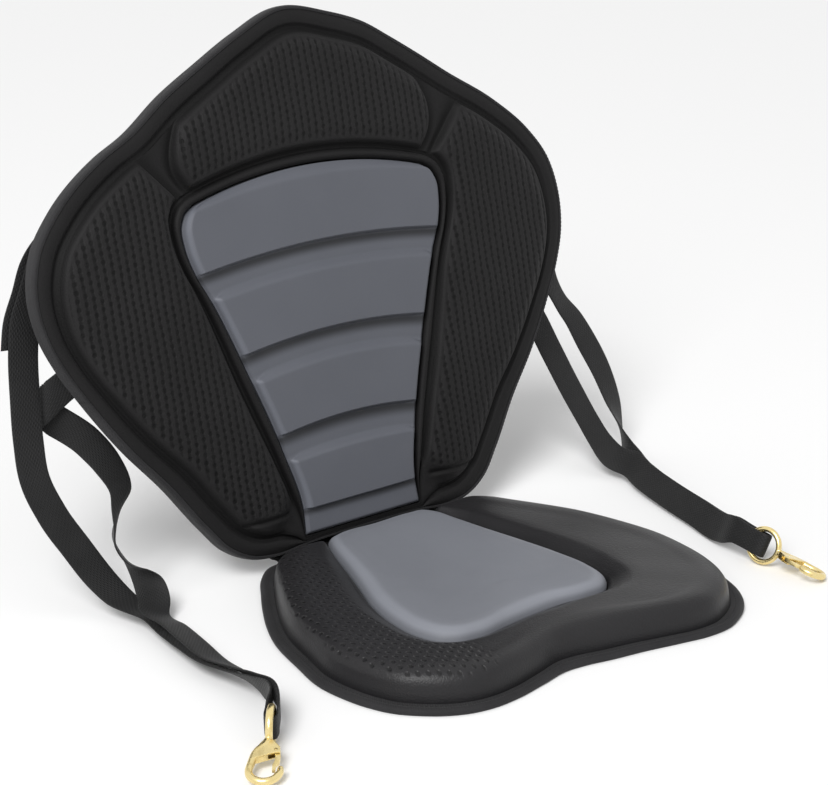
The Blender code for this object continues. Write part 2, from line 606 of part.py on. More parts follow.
# Rows behind the back: shares of its half width and height, metres behind its plane, slant in degrees.
UPPER_REAR = ((0.915, 0.610, 0.0214, 30), (0.946, 0.563, 0.0268, 22), (0.984, 0.511, 0.0310, 10),
              (1.000, 0.466, 0.0328, 4))
LEFT_LOWER_REAR = ((0.905, 0.382, 0.0328, 60), (0.850, 0.402, 0.0262, 61), (0.790, 0.424, 0.0196, 62),
                   (0.735, 0.443, 0.0160, 63), (0.680, 0.462, 0.0158, 64))
RIGHT_LOWER_REAR = ((0.862, 0.345, 0.0280, 36), (0.796, 0.385, 0.0190, 43), (0.746, 0.416, 0.0158, 45),
                    (0.685, 0.449, 0.0158, 47))
ANCHOR_REAR = ((0.646, 0.761, 0.0157, 53), (0.738, 0.719, 0.0157, 53), (0.835, 0.669, 0.0176, 44),
               (0.931, 0.610, 0.0246, 30), (0.962, 0.563, 0.0300, 22), (1.000, 0.511, 0.0343, 10),
               (1.016, 0.470, 0.0361, 4))


def rear_strand(side, rows):
    """Centres and directions across for rows that are given in the back's own plane."""
    centres, wides = [], []
    for out, up, behind, slant in rows:
        slant = math.radians(slant)
        centres.append(on_back((side * out * BACK_WIDTH / 2, up * BACK_HEIGHT), -behind))
        wides.append(on_back((math.cos(slant), side * math.sin(slant)), 0) - on_back((0, 0), 0))
    return centres, wides


def diagonal_fold(side):
    """The lower strand turns over on a slanted crease behind the back: half a turn of a helix."""
    radius, slant, lean = 0.0019, math.radians(51), math.radians(9)
    origin = on_back((0, 0), 0)
    crease, outward = [on_back(v, 0) - origin for v in ((-side * math.sin(lean), math.cos(lean)),
                                                        (side * math.cos(lean), math.sin(lean)))]
    normal = on_back((0, 0), 1) - origin
    start = on_back((side * 0.960 * BACK_WIDTH / 2, 0.350 * BACK_HEIGHT), -0.0382)
    centres, wides = [], []
    for t in np.linspace(0, math.pi, 5):
        centres.append(start + radius * (math.sin(t) * outward - math.cos(t) * normal)
                       + crease * radius * t / math.tan(slant))
        wides.append(-crease)
    return centres, wides


def doubled(side):
    """Middle line, direction across and spread of the two strands that run together."""
    rows = LEFT_BOTH if side < 0 else RIGHT_BOTH
    centres, wides = strand(rows)
    spread = [row[5] / 1000 for row in rows]
    eye, along, across, out = hook_frame(side)
    for back, wide in ((0.026, 0.0058), (0.018, 0.0078), (0.009, 0.0082)):
        centres.append(eye - back * along)
        wides.append(-abs(out[2]) / out[2] * out)
        spread.append(wide)
    return np.array(centres), np.array(wides), np.array(spread)


def strap_route(side):
    """One band: upper strand, down to the eye, through it, and back up as the lower strand."""
    upper, upper_wide = strand(LEFT_UPPER if side < 0 else RIGHT_UPPER)
    lower, lower_wide = strand(LEFT_LOWER if side < 0 else RIGHT_LOWER)
    top, top_wide = rear_strand(side, UPPER_REAR)
    end, end_wide = rear_strand(side, LEFT_LOWER_REAR if side < 0 else RIGHT_LOWER_REAR)
    if side < 0:
        fold, fold_wide = diagonal_fold(side)
        end, end_wide = fold + end, fold_wide + end_wide
    else:
        end_wide = [-wide for wide in end_wide]
    middle, wides, spread = doubled(side)
    normal = np.cross(np.gradient(middle, axis=0), wides)
    apart = normal / np.linalg.norm(normal, axis=1, keepdims=True) * spread[:, None] / 2 * -side
    rear, front = middle - apart, middle + apart
    eye, along, across, out = hook_frame(side)
    step = (rear[-1] - front[-1]) / 2
    bend = [eye + step * math.cos(t) + along * (np.linalg.norm(step) * math.sin(t) - 0.0015)
            for t in np.linspace(0, math.pi, 5)]
    centres = top + upper + list(rear) + bend + list(front[::-1]) + lower + end
    turned = (top_wide + upper_wide + list(wides) + [wides[-1]] * 5 + list(wides[::-1]) + lower_wide
              + end_wide)
    pinch = [WEB_WIDTH] * (len(middle) - 3) + [0.84 * WEB_WIDTH, 0.78 * WEB_WIDTH, 0.77 * WEB_WIDTH]
    widths = [WEB_WIDTH] * (len(top) + len(upper)) + pinch + [0.77 * WEB_WIDTH] * 5 + pinch[::-1]
    widths += [WEB_WIDTH] * (len(lower) + len(end))
    line = smooth_curve(np.column_stack((centres, turned, widths)), 2)
    return line[:, :3], line[:, 3:6], line[:, 6]


def build_strap(side, label):
    centres, wides, widths = strap_route(side)
    ribbon_mesh(label + "_side_strap", centres, wides, widths, WEB_THICK, WEB)
    centres, wides = rear_strand(side, ANCHOR_REAR)
    line = smooth_curve(np.column_stack((centres, wides)), 2)
    ribbon_mesh(label + "_anchor_webbing", line[:, :3], line[:, 3:], WEB_WIDTH, WEB_THICK, WEB)


build_lumbar()
build_back()
build_base()
build_hinge()
for side, label in ((-1, "left"), (1, "right")):
    build_hook(side, label)
    build_strap(side, label)
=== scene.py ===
import math
import bpy
import numpy as np
from mathutils import Matrix, Vector


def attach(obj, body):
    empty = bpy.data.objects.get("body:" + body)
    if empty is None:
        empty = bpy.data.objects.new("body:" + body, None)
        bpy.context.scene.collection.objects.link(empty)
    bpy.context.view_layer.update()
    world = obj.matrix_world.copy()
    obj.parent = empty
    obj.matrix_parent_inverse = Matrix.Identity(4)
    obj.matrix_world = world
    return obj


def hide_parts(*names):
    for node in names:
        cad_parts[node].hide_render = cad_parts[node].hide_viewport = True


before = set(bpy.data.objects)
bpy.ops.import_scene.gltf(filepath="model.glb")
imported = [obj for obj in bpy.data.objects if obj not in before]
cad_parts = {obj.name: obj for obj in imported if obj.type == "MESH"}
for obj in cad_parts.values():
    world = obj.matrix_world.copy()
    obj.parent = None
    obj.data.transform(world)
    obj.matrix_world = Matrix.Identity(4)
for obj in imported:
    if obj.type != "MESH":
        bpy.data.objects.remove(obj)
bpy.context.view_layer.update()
scene = bpy.context.scene
gap = 0.0003             # air between touching pieces, in metres
print("frame loaded,", len(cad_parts), "nodes")


# Curves and grids

# 0 below low, 1 above high, and a smooth step between
def ease(value, low, high):
    t = np.clip((value - low) / (high - low), 0, 1)
    return t * t * (3 - 2 * t)


# even directions round a hub, in radians
def fullTurn(count, first=-math.pi):
    return np.arange(count) * 2 * math.pi / count + first


# vectors divided by their own lengths
def unit(vectors):
    return vectors / np.linalg.norm(vectors, axis=1, keepdims=True)


# distance travelled at each point of a line: the sum of the chords before it
def lengthAlong(line):
    return np.concatenate(([0], np.cumsum(np.linalg.norm(np.diff(line, axis=0), axis=1))))


# values of a line at given distances along it
def pickAlong(at, run, line):
    return np.column_stack([np.interp(at, run, column) for column in line.T])


# Hermite curve through the points, each slope weighted by the two chords beside it
def smoothLine(points, samples, closed=False, path=3):
    p = np.asarray(points, float)
    if closed:
        p = np.vstack((p[-1], p, p[:2]))
    else:
        p = np.vstack((2 * p[0] - p[1], p, 2 * p[-1] - p[-2]))
    span = np.linalg.norm(np.diff(p[:, :path], axis=0), axis=1)[:, None]
    pace = np.diff(p, axis=0) / span
    slope = (pace[1:] * span[:-1] + pace[:-1] * span[1:]) / (span[1:] + span[:-1])
    t = np.linspace(0, 1, samples, endpoint=False)[:, None, None]
    a, b, long = p[1:-2], p[2:-1], span[1:-1]
    line = ((2 * t**3 - 3 * t**2 + 1) * a + (3 * t**2 - 2 * t**3) * b
            + (t**3 - 2 * t**2 + t) * long * slope[:-1] + (t**3 - t**2) * long * slope[1:])
    line = line.transpose(1, 0, 2).reshape(-1, p.shape[1])
    return line if closed else np.vstack((line, p[-2]))


# both halves of an outline, right one forwards and left one mirrored and backwards
def bothSides(right, left, wide, tall, samples=24):
    line = np.vstack((right, np.array(left[1:-1])[::-1] * (-1, 1)))
    return smoothLine(line * (wide / 2, tall), samples, closed=True)


# distance from the hub to a closed outline in each direction
def radii(outline, hub, want):
    arm = outline - hub
    turn = np.arctan2(arm[:, 1], arm[:, 0])
    order = np.argsort(turn)
    return np.interp(want, turn[order], np.hypot(*arm[order].T), period=2 * math.pi)


# points at a radius and a direction from the hub
def polar(hub, radius, turn):
    return np.stack((hub[0] + radius * np.cos(turn), hub[1] + radius * np.sin(turn)), axis=-1)


# slow unevenness of hand-laid foam: a sum of three crossed sine waves, between -1 and 1
def softWave(x, y, scale=1.0):
    x, y = x * scale, y * scale
    return (np.sin(61 * x + 23 * y + 0.4) + np.sin(-37 * x + 71 * y + 2.1)
            + np.sin(113 * x + 97 * y + 4.0)) / 3


# quads of a rows x cols grid of points, wrapped round where asked
def gridFaces(rows, cols, wrapCols=True, wrapRows=False, start=0):
    i = np.arange(rows if wrapRows else rows - 1)[:, None]
    j = np.arange(cols if wrapCols else cols - 1)[None, :]
    below, above = i * cols, (i + 1) % rows * cols
    right = (j + 1) % cols
    return start + np.stack((below + j, below + right, above + right, above + j), axis=-1).reshape(-1, 4)


# fan of triangles from a loop of points to one centre point
def fanFaces(loop, centre):
    loop = np.asarray(loop)
    return np.stack((np.roll(loop, -1), loop, np.full(len(loop), centre)), axis=-1)


# grid wrapped round its columns, with a centre point and a fan at each end
def cappedGrid(rings):
    rows, cols = rings.shape[:2]
    points = np.vstack((rings.reshape(-1, 3), rings[0].mean(axis=0), rings[-1].mean(axis=0)))
    first, last = np.arange(cols), np.arange(cols) + (rows - 1) * cols
    return points, [gridFaces(rows, cols), fanFaces(first, rows * cols),
                    fanFaces(last, rows * cols + 1)[:, ::-1]]


# six times the signed volume: positive when the faces point outwards
def signedVolume(points, faces):
    total = 0.0
    for f in faces:
        for k in range(1, f.shape[1] - 1):
            a, b, c = points[f[:, 0]], points[f[:, k]], points[f[:, k + 1]]
            total += np.einsum("ij,ij->", a, np.cross(b, c))
    return total


# arrays into a mesh object: faces is a list of index arrays, marks a dictionary of point attributes
def makeObject(name, points, faces, material=None, marks=None, sharp=60):
    points = np.asarray(points, float)
    if signedVolume(points, faces) < 0:
        faces = [f[:, ::-1] for f in faces]
    mesh = bpy.data.meshes.new(name)
    mesh.vertices.add(len(points))
    mesh.vertices.foreach_set("co", points.astype(np.float32).ravel())
    sizes = np.concatenate([np.full(len(f), f.shape[1]) for f in faces])
    corners = np.concatenate([f.ravel() for f in faces])
    mesh.loops.add(len(corners))
    mesh.loops.foreach_set("vertex_index", corners.astype(np.int32))
    mesh.polygons.add(len(sizes))
    mesh.polygons.foreach_set("loop_start", np.concatenate(([0], np.cumsum(sizes)[:-1])).astype(np.int32))
    mesh.polygons.foreach_set("use_smooth", np.ones(len(sizes), bool))
    for mark, values in (marks or {}).items():
        values = np.asarray(values, np.float32)
        kind = "FLOAT" if values.ndim == 1 else "FLOAT_VECTOR"
        made = mesh.attributes.new(mark, kind, "POINT")
        made.data.foreach_set("value" if values.ndim == 1 else "vector", values.ravel())
    mesh.update(calc_edges=True)
    mesh.validate()
    mesh.set_sharp_from_angle(angle=math.radians(sharp))
    if material:
        mesh.materials.append(material)
    piece = bpy.data.objects.new(name, mesh)
    scene.collection.objects.link(piece)
    return piece


# hands a finished piece to its body, and hides the CAD nodes that it stands for
def settle(piece, nodes=(), body="seat"):
    if nodes:
        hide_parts(*nodes)
    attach(piece, body)
    return piece


# mesh of an object as its modifiers leave it, as points and face arrays; the object then goes
def takeShape(work):
    shape = work.evaluated_get(bpy.context.evaluated_depsgraph_get()).to_mesh()
    points = np.empty(len(shape.vertices) * 3, np.float32)
    shape.vertices.foreach_get("co", points)
    sizes = np.empty(len(shape.polygons), np.int32)
    shape.polygons.foreach_get("loop_total", sizes)
    corners = np.empty(len(shape.loops), np.int32)
    shape.loops.foreach_get("vertex_index", corners)
    starts = np.cumsum(sizes) - sizes
    faces = [corners[starts[sizes == n][:, None] + np.arange(n)] for n in np.unique(sizes)]
    bpy.data.objects.remove(work)
    return points.reshape(-1, 3).astype(float), faces


# Materials

# a node with its settings and inputs; an input is linked to another node's output, or set to a value
def addNode(tree, kind, inputs, **settings):
    node = tree.nodes.new("ShaderNode" + kind)
    for name, value in settings.items():
        setattr(node, name, value)
    for socket, value in inputs.items():
        if isinstance(value, bpy.types.NodeSocket):
            tree.links.new(value, node.inputs[socket])
        else:
            node.inputs[socket].default_value = value
    return node


# one step of arithmetic on outputs and numbers
def calc(tree, operation, *values):
    return addNode(tree, "Math", dict(enumerate(values)), operation=operation).outputs[0]


# a times b
def times(tree, a, b):
    return calc(tree, "MULTIPLY", a, b)


# smooth step that carries one range of a value into another
def spread(tree, value, low, high, toLow=0.0, toHigh=1.0):
    inputs = {"Value": value, "From Min": low, "From Max": high, "To Min": toLow, "To Max": toHigh}
    return addNode(tree, "MapRange", inputs, interpolation_type="SMOOTHSTEP").outputs["Result"]


# fractal noise at a position
def noise(tree, vector, scale, detail=2.0, roughness=0.5, output="Fac"):
    inputs = {"Vector": vector, "Scale": scale, "Detail": detail, "Roughness": roughness}
    return addNode(tree, "TexNoise", inputs).outputs[output]


# x, y and z of a position
def splitUp(tree, vector):
    return addNode(tree, "SeparateXYZ", {0: vector}).outputs


# a node group with named inputs and outputs; the inputs are (name, kind, default)
def makeGroup(name, inputs, outputs):
    tree = bpy.data.node_groups.new(name, "ShaderNodeTree")
    for label, kind, default in inputs:
        socket = tree.interface.new_socket(label, in_out="INPUT", socket_type="NodeSocket" + kind)
        if default is not None:
            socket.default_value = default
    for label in outputs:
        tree.interface.new_socket(label, in_out="OUTPUT", socket_type="NodeSocketFloat")
    return tree, tree.nodes.new("NodeGroupInput").outputs, tree.nodes.new("NodeGroupOutput").inputs


# rows of short dashes: columns one Column apart, dashes one Pitch apart, every other column half a step on;
# a dash fills an ellipse of Width and Length, and a fainter line joins those of one column
def buildDashRows():
    tree, given, out = makeGroup("dashRows", (
        ("Vector", "Vector", None), ("Column", "Float", 0.0065), ("Pitch", "Float", 0.0062),
        ("Width", "Float", 0.13), ("Length", "Float", 0.30), ("Wander", "Float", 0.0012),
        ("Line", "Float", 1.0)), ("Mask",))
    shake = noise(tree, given["Vector"], 45, output="Color")
    reach = addNode(tree, "CombineXYZ", {axis: given["Wander"] for axis in range(3)}).outputs[0]
    moved = addNode(tree, "VectorMath", {0: shake, 1: reach, 2: given["Vector"]}, operation="MULTIPLY_ADD")
    x, y, _ = splitUp(tree, moved.outputs[0])
    across = calc(tree, "DIVIDE", x, given["Column"])
    odd = times(tree, calc(tree, "FLOORED_MODULO", calc(tree, "FLOOR", across), 2.0), 0.5)
    along = calc(tree, "ADD", calc(tree, "DIVIDE", y, given["Pitch"]), odd)
    off = [calc(tree, "ABSOLUTE", calc(tree, "SUBTRACT", calc(tree, "FRACT", run), 0.5))
           for run in (across, along)]
    thin, short = calc(tree, "DIVIDE", off[0], given["Width"]), calc(tree, "DIVIDE", off[1], given["Length"])
    both = calc(tree, "SQRT", calc(tree, "ADD", times(tree, thin, thin), times(tree, short, short)))
    dash = spread(tree, both, 0.45, 1.25, 1.0, 0.0)
    line = times(tree, spread(tree, thin, 0.2, 1.1, 0.66, 0.0), given["Line"])
    uneven = spread(tree, noise(tree, given["Vector"], 130.0), 0.3, 0.6, 0.7, 1.0)
    tree.links.new(times(tree, calc(tree, "MAXIMUM", dash, line), uneven), out["Mask"])
    return tree


# plain weave: two crossed sine waves of threads, of which one shows where the other dips
def buildWeave():
    tree, given, out = makeGroup("weave", (
        ("Vector", "Vector", None), ("Across", "Float", 0.0011), ("Along", "Float", 0.0011)),
        ("Height", "Shade"))
    x, y, _ = splitUp(tree, given["Vector"])
    warp, weft = [calc(tree, "SINE", times(tree, calc(tree, "DIVIDE", run, given[size]), math.pi))
                  for run, size in ((x, "Across"), (y, "Along"))]
    crossed, ribs = times(tree, warp, weft), calc(tree, "ABSOLUTE", warp)
    height = calc(tree, "ADD", times(tree, crossed, 0.5), times(tree, ribs, 0.5))
    tree.links.new(height, out["Height"])
    tree.links.new(spread(tree, height, -0.6, 0.9, 0.72, 1.15), out["Shade"])
    return tree


# cloth-faced foam: fine grain, with larger rubbed patches
def buildGrain():
    tree, given, out = makeGroup("grain", (
        ("Vector", "Vector", None), ("Fine", "Float", 1800.0), ("Broad", "Float", 14.0)),
        ("Height", "Shade"))
    fine, broad = [noise(tree, given["Vector"], given[size], 2.5) for size in ("Fine", "Broad")]
    mix = calc(tree, "ADD", times(tree, fine, 0.5), times(tree, broad, 0.5))
    tree.links.new(fine, out["Height"])
    tree.links.new(spread(tree, mix, 0.3, 0.7, 0.82, 1.2), out["Shade"])
    return tree


dashRows, weave, grain = buildDashRows(), buildWeave(), buildGrain()


# a material with its constant finish, its shader and its object coordinates
def startMaterial(name, look, metallic=0.0):
    material = bpy.data.materials.new(name)
    material.use_nodes = True
    tree = material.node_tree
    shader = tree.nodes["Principled BSDF"]
    for socket, value in (("Base Color", (*look["colour"], 1)), ("Roughness", look["rough"]),
                          ("Specular IOR Level", look["specular"]), ("Metallic", metallic),
                          ("Sheen Weight", look["sheen"]), ("Sheen Roughness", 0.4)):
        shader.inputs[socket].default_value = value
    material.diffuse_color = (*look["colour"], 1)
    return material, tree, shader, addNode(tree, "TexCoord", {}).outputs["Object"]


# one of the groups above, with this material's own values
def useGroup(tree, group, vector, **values):
    return addNode(tree, "Group", dict(values, Vector=vector), node_tree=group).outputs


# a point attribute of the piece
def readMark(tree, name, output="Fac"):
    return addNode(tree, "Attribute", {}, attribute_name=name).outputs[output]


# base colour times a value that changes over the surface
def tint(tree, shader, colour, factor):
    node = addNode(tree, "VectorMath", {0: colour, "Scale": factor}, operation="SCALE")
    tree.links.new(node.outputs[0], shader.inputs["Base Color"])


# a height from 0 to 1, times a depth in metres, as a bump
def bump(tree, shader, height, depth):
    node = addNode(tree, "Bump", {"Distance": depth, "Strength": 1.0, "Height": height})
    tree.links.new(node.outputs[0], shader.inputs["Normal"])


# embossed black foam: grain everywhere, and dashes where the mark called dots is 1; the dashes lie in the
# plane that the look's turn about X leads to
def makeFoam(name, look):
    material, tree, shader, spot = startMaterial(name, look)
    flat = addNode(tree, "Mapping", {"Vector": spot, "Rotation": (look["turn"], 0, 0)}).outputs[0]
    dashes = useGroup(tree, dashRows, flat, Column=look["column"], Pitch=look["pitch"], Width=look["width"],
                      Length=look["length"], Wander=look["wander"], Line=look["line"])["Mask"]
    dots = readMark(tree, "dots")
    marked = times(tree, dashes, dots)
    skin = useGroup(tree, grain, spot, Fine=look["fine"], Broad=look["broad"])
    ribs = calc(tree, "ADD", 1.0, times(tree, dots, look["ribs"]))
    darker = calc(tree, "SUBTRACT", ribs, times(tree, marked, look["dark"] + look["ribs"]))
    # the mark called shade is painted shade and painted highlight, multiplied into the colour
    shade = times(tree, times(tree, skin["Shade"], darker), readMark(tree, "shade"))
    tint(tree, shader, look["colour"], shade)
    height = calc(tree, "SUBTRACT", times(tree, skin["Height"], look["grainDepth"]), marked)
    bump(tree, shader, height, look["depth"])
    return material


# roughness that follows a value over the surface
def drift(tree, shader, value, low, high, least, most):
    tree.links.new(spread(tree, value, low, high, least, most), shader.inputs["Roughness"])


# smooth-skinned foam: fine pebble, slow colour drift and a slightly shinier skin in places
def makeSkin(name, look):
    material, tree, shader, spot = startMaterial(name, look)
    skin = useGroup(tree, grain, spot, Fine=look["fine"], Broad=look["broad"])
    even = spread(tree, skin["Shade"], 0.8, 1.2, 0.95, 1.05)
    # the mark called shade is painted shade and painted highlight, multiplied into the colour
    tint(tree, shader, look["colour"], times(tree, even, readMark(tree, "shade")))
    drift(tree, shader, noise(tree, spot, 30.0, 3.0), 0.3, 0.7, look["rough"] - 0.06, look["rough"] + 0.06)
    bump(tree, shader, skin["Height"], look["depth"])
    return material


# woven tape, webbing and backing: the weave follows the mark called cloth, along and across in metres
def makeWoven(name, look):
    material, tree, shader, spot = startMaterial(name, look)
    cloth = readMark(tree, "cloth", "Vector")
    threads = useGroup(tree, weave, cloth, Across=look["across"], Along=look["along"])
    skin = useGroup(tree, grain, spot, Fine=900.0, Broad=40.0)
    tint(tree, shader, look["colour"], times(tree, threads["Shade"], skin["Shade"]))
    bump(tree, shader, threads["Height"], look["depth"])
    return material


# polished cast brass, a little dulled and browned where it isn't handled
def makeBrass(look):
    material, tree, shader, spot = startMaterial("brass", look, metallic=1.0)
    patches = noise(tree, spot, 120.0, 4.0, 0.6)
    mix = addNode(tree, "Mix", {"A": (*look["colour"], 1), "B": (*look["dull"], 1),
                                "Factor": spread(tree, patches, 0.45, 0.75, 0.0, 0.8)}, data_type="RGBA")
    tree.links.new(mix.outputs["Result"], shader.inputs["Base Color"])
    drift(tree, shader, patches, 0.3, 0.8, look["rough"], look["rough"] + 0.22)
    bump(tree, shader, noise(tree, spot, 900.0), look["depth"])
    return material


tilt = math.radians(14.3)     # the back leans by this much from upright
blackLook = dict(colour=(0.0088, 0.0085, 0.0088), rough=0.62, specular=0.16, sheen=0.03,
                 turn=tilt - math.pi / 2, column=0.0066, pitch=0.0064, width=0.29, length=0.46, line=1.0,
                 wander=0.0028, fine=760.0, broad=16.0, dark=0.88, ribs=0.42, grainDepth=0.35, depth=0.0009)
ringLook = dict(blackLook, colour=(0.0135, 0.0130, 0.0142), rough=0.40, specular=0.28, turn=0.0,
                column=0.0060, pitch=0.0088, width=0.27, length=0.27, line=0.0, dark=0.7, ribs=0.15,
                wander=0.0010)
greyLook = dict(colour=(0.093, 0.098, 0.115), rough=0.55, specular=0.35, sheen=0.03, fine=2200.0,
                broad=9.0, depth=0.00008)
# the same grey foam, painted lighter for the light on the seat's upward face
paintedLitSeatLook = dict(greyLook, colour=(0.182, 0.190, 0.214))
tapeLook = dict(colour=(0.023, 0.0225, 0.024), rough=0.7, specular=0.2, sheen=0.05, across=0.0009,
                along=0.0009, depth=0.0002)
coverLook = dict(tapeLook, colour=(0.011, 0.011, 0.012), across=0.0013, along=0.0013)
webLook = dict(tapeLook, colour=(0.0115, 0.0115, 0.0118), rough=0.62, specular=0.25, across=0.0014,
               along=0.0020, depth=0.00025)
threadLook = dict(tapeLook, colour=(0.020, 0.020, 0.021), across=0.0004, along=0.0007)
brassLook = dict(colour=(0.84, 0.69, 0.34), dull=(0.60, 0.45, 0.17), rough=0.18, specular=0.5, sheen=0.0,
                 depth=0.00004)

blackFoam = makeFoam("blackFoam", blackLook)
ringFoam = makeFoam("ringFoam", ringLook)
greyFoam = makeSkin("greyFoam", greyLook)
paintedLitSeatFoam = makeSkin("paintedLitSeatFoam", paintedLitSeatLook)
tapeCloth = makeWoven("tapeCloth", tapeLook)
coverCloth = makeWoven("coverCloth", coverLook)
webbing = makeWoven("webbing", webLook)
thread = makeWoven("thread", threadLook)
brass = makeBrass(brassLook)
print("materials made")


# Back, in metres. low and high bound the two channels' directions and climb and soft bend them, in degrees;
# crease is a height above the foot, panelStart a share of the rim's width, dots the inset where dashes start

back = dict(width=0.520, height=0.423, lift=0.021, core=0.012, cover=0.0022, tape=0.0035, border=0.014,
            rise=0.0090, rim=0.008, bead=0.0046, pocket=0.006, pocketGap=0.0014, columns=640,
            low=48.5, high=51.4, climb=8.6, soft=3.4, crease=0.0255, creaseDeep=0.0024, creaseWide=0.0020,
            foot=0.0014, outerGroove=0.006, panelStart=1.4, wave=0.0004, dots=(0.0055, 0.0095))
backHub = np.array((0.0, 0.355 * back["height"]))
backSide = (
    (1.0, 0.562), (0.99, 0.487), (0.95, 0.42), (0.888, 0.35), (0.785, 0.251), (0.677, 0.166),
    (0.573, 0.072), (0.504, 0.020), (0.43, -0.007), (0.354, -0.0155), (0.2, -0.010), (0.0, -0.009),
)
backRight = (
    (0.0, 1.010), (0.17, 0.990), (0.30, 0.962), (0.392, 0.928), (0.50, 0.885), (0.60, 0.843),
    (0.775, 0.774), (0.90, 0.706), (0.972, 0.641),
) + backSide
backLeft = (
    (0.0, 1.010), (0.17, 0.972), (0.32, 0.925), (0.46, 0.878), (0.61, 0.815), (0.71, 0.784),
    (0.888, 0.700), (0.965, 0.638),
) + backSide


# the back's own plane, x across and v up it, with a lift towards the sitter, in the world
def onBack(flat, lift):
    flat = np.asarray(flat, float)
    lift = np.broadcast_to(lift, flat.shape[:-1])
    s, c = math.sin(tilt), math.cos(tilt)
    return np.stack((flat[..., 0], flat[..., 1] * s - lift * c,
                     back["lift"] + flat[..., 1] * c + lift * s), axis=-1)


# the panel's outline as (height, half width) and its pads as (foot, top, bow of foot, bow of top), all in
# shares of its height and half width
lumbar = dict(width=0.254, height=0.299, rise=0.0085, channel=0.0035, across=150)
lumbarSide = (
    (0.015, 0.455), (0.09, 0.45), (0.24, 0.52), (0.48, 0.69), (0.71, 0.885), (0.76, 0.94),
    (0.84, 0.99), (0.885, 0.995), (0.918, 0.965), (0.94, 0.905), (0.953, 0.82),
)
pads = ((0.082, 0.240, 0.0, 0.014), (0.294, 0.474, 0.020, 0.028), (0.528, 0.712, 0.026, 0.030),
        (0.760, 0.953, 0.031, 0.047))


# height, bow, rise and shade of every row of the panel: a pad climbs fast at its foot and slowly at its top.
# The shade is painted: painted shadow under each pad and at the foot strip's top, and a painted highlight
# along each pad's top
def lumbarRows():
    rows = [np.array(((0.015, 0, 0.3, 1.0), (0.0175, 0, 0.6, 1.0), (0.02, 0, 0.85, 1.0)))]
    low = np.linspace(0.022, 0.080, 16)
    # painted shadow at the top of the foot strip, under the lowest pad
    rows.append(np.column_stack((low, 0 * low, np.ones(16), 1.03 - 0.75 * ease(low, 0.060, 0.079))))
    for number, (low, high, bowLow, bowHigh) in enumerate(pads):
        top = number == len(pads) - 1
        share = np.unique(np.concatenate((np.linspace(0, 0.06, 13), np.linspace(0.06, 0.78, 22),
                                          np.linspace(0.78, 1, 20))))
        climb = np.minimum(ease(share, -0.006, 0.045), ease(1 - share, -0.02 if top else 0.0, 0.16))
        # painted shade at each pad's foot and a painted highlight near its top
        paintedShadeAndLight = (1 - 0.42 * ease(0.045 - share, 0, 0.045)
                  + 0.12 * ease(share, 0.84, 0.90) * ease(1 - share, 0.0, 0.07))
        rows.append(np.column_stack((low + (high - low) * share, bowLow + (bowHigh - bowLow) * share,
                                     1 + climb, paintedShadeAndLight)))
        if not top:
            nextLow, nextBow = pads[number + 1][0], pads[number + 1][2]
            t = np.linspace(0, 1, 10)[1:-1]
            # painted shadow in the channel under the pad above
            shadow = 1.03 - 0.80 * ease(t, 0.3, 0.85)
            rows.append(np.column_stack((high + (nextLow - high) * t, bowHigh + (nextBow - bowHigh) * t,
                                         np.ones(8), shadow)))
    return np.vstack(rows)


# flat positions, lifts and painted shades of the panel's grid, with a painted highlight on the pads' left
# edges: edge columns crowd towards both sides
def lumbarGrid():
    side = smoothLine(lumbarSide, 12)
    rows = lumbarRows()
    height, bow, rise, shade = [c[:, None] for c in rows.T]
    half = np.interp(height[:, 0], side[:, 0], side[:, 1])[:, None] * lumbar["width"] / 2
    t = np.linspace(-1, 1, lumbar["across"])
    across = half * np.sign(t) * (1 - (1 - np.abs(t)) ** 1.6)
    v = height * lumbar["height"] + bow * lumbar["height"] * (1 - (across / half) ** 2)
    inset = half - np.abs(across)
    pad = np.clip(rise - 1, 0, 1)
    corner = 0.009 * (1 - ease(pad, 0.0, 1.0)) ** 2
    side = ease(inset - corner, 0.0008, 0.0062)
    base = lumbar["channel"] * np.minimum(rise, 1) * (0.35 + 0.65 * ease(inset, -0.0005, 0.003))
    lift = base + (lumbar["rise"] - lumbar["channel"]) * pad * (0.12 + 0.88 * side)
    lift = lift + 0.0012 * pad * (1 - (across / half) ** 2) + 0.00025 * softWave(across, v) * pad
    # painted highlight on the pads' rounded left edges, on the side the light comes from
    paintedEdgeHighlight = 0.46 * ease(inset, 0.0012, 0.0030) * ease(-inset, -0.0062, -0.0036) * ease(pad, 0.3, 0.9)
    return np.stack((across, v), axis=-1), lift, shade + paintedEdgeHighlight * ease(-across, -0.02, 0.03)


# the panel's outline pushed out by a distance, square to itself
def lumbarRimLine(grow):
    flat = lumbarGrid()[0]
    line = np.vstack((flat[:, -1], flat[-1, ::-1][1:], flat[::-1, 0][1:], flat[0, 1:-1]))
    step = np.roll(line, -1, axis=0) - np.roll(line, 1, axis=0)
    out = np.stack((step[:, 1], -step[:, 0]), axis=1)
    return line + grow * out / np.linalg.norm(out, axis=1, keepdims=True)


# edge indices of a rows x cols grid, once round
def gridRim(rows, cols):
    right = np.arange(rows) * cols + cols - 1
    top = (rows - 1) * cols + np.arange(cols - 2, -1, -1)
    left = np.arange(rows - 2, -1, -1) * cols
    return np.concatenate((right, top, left, np.arange(1, cols - 1)))


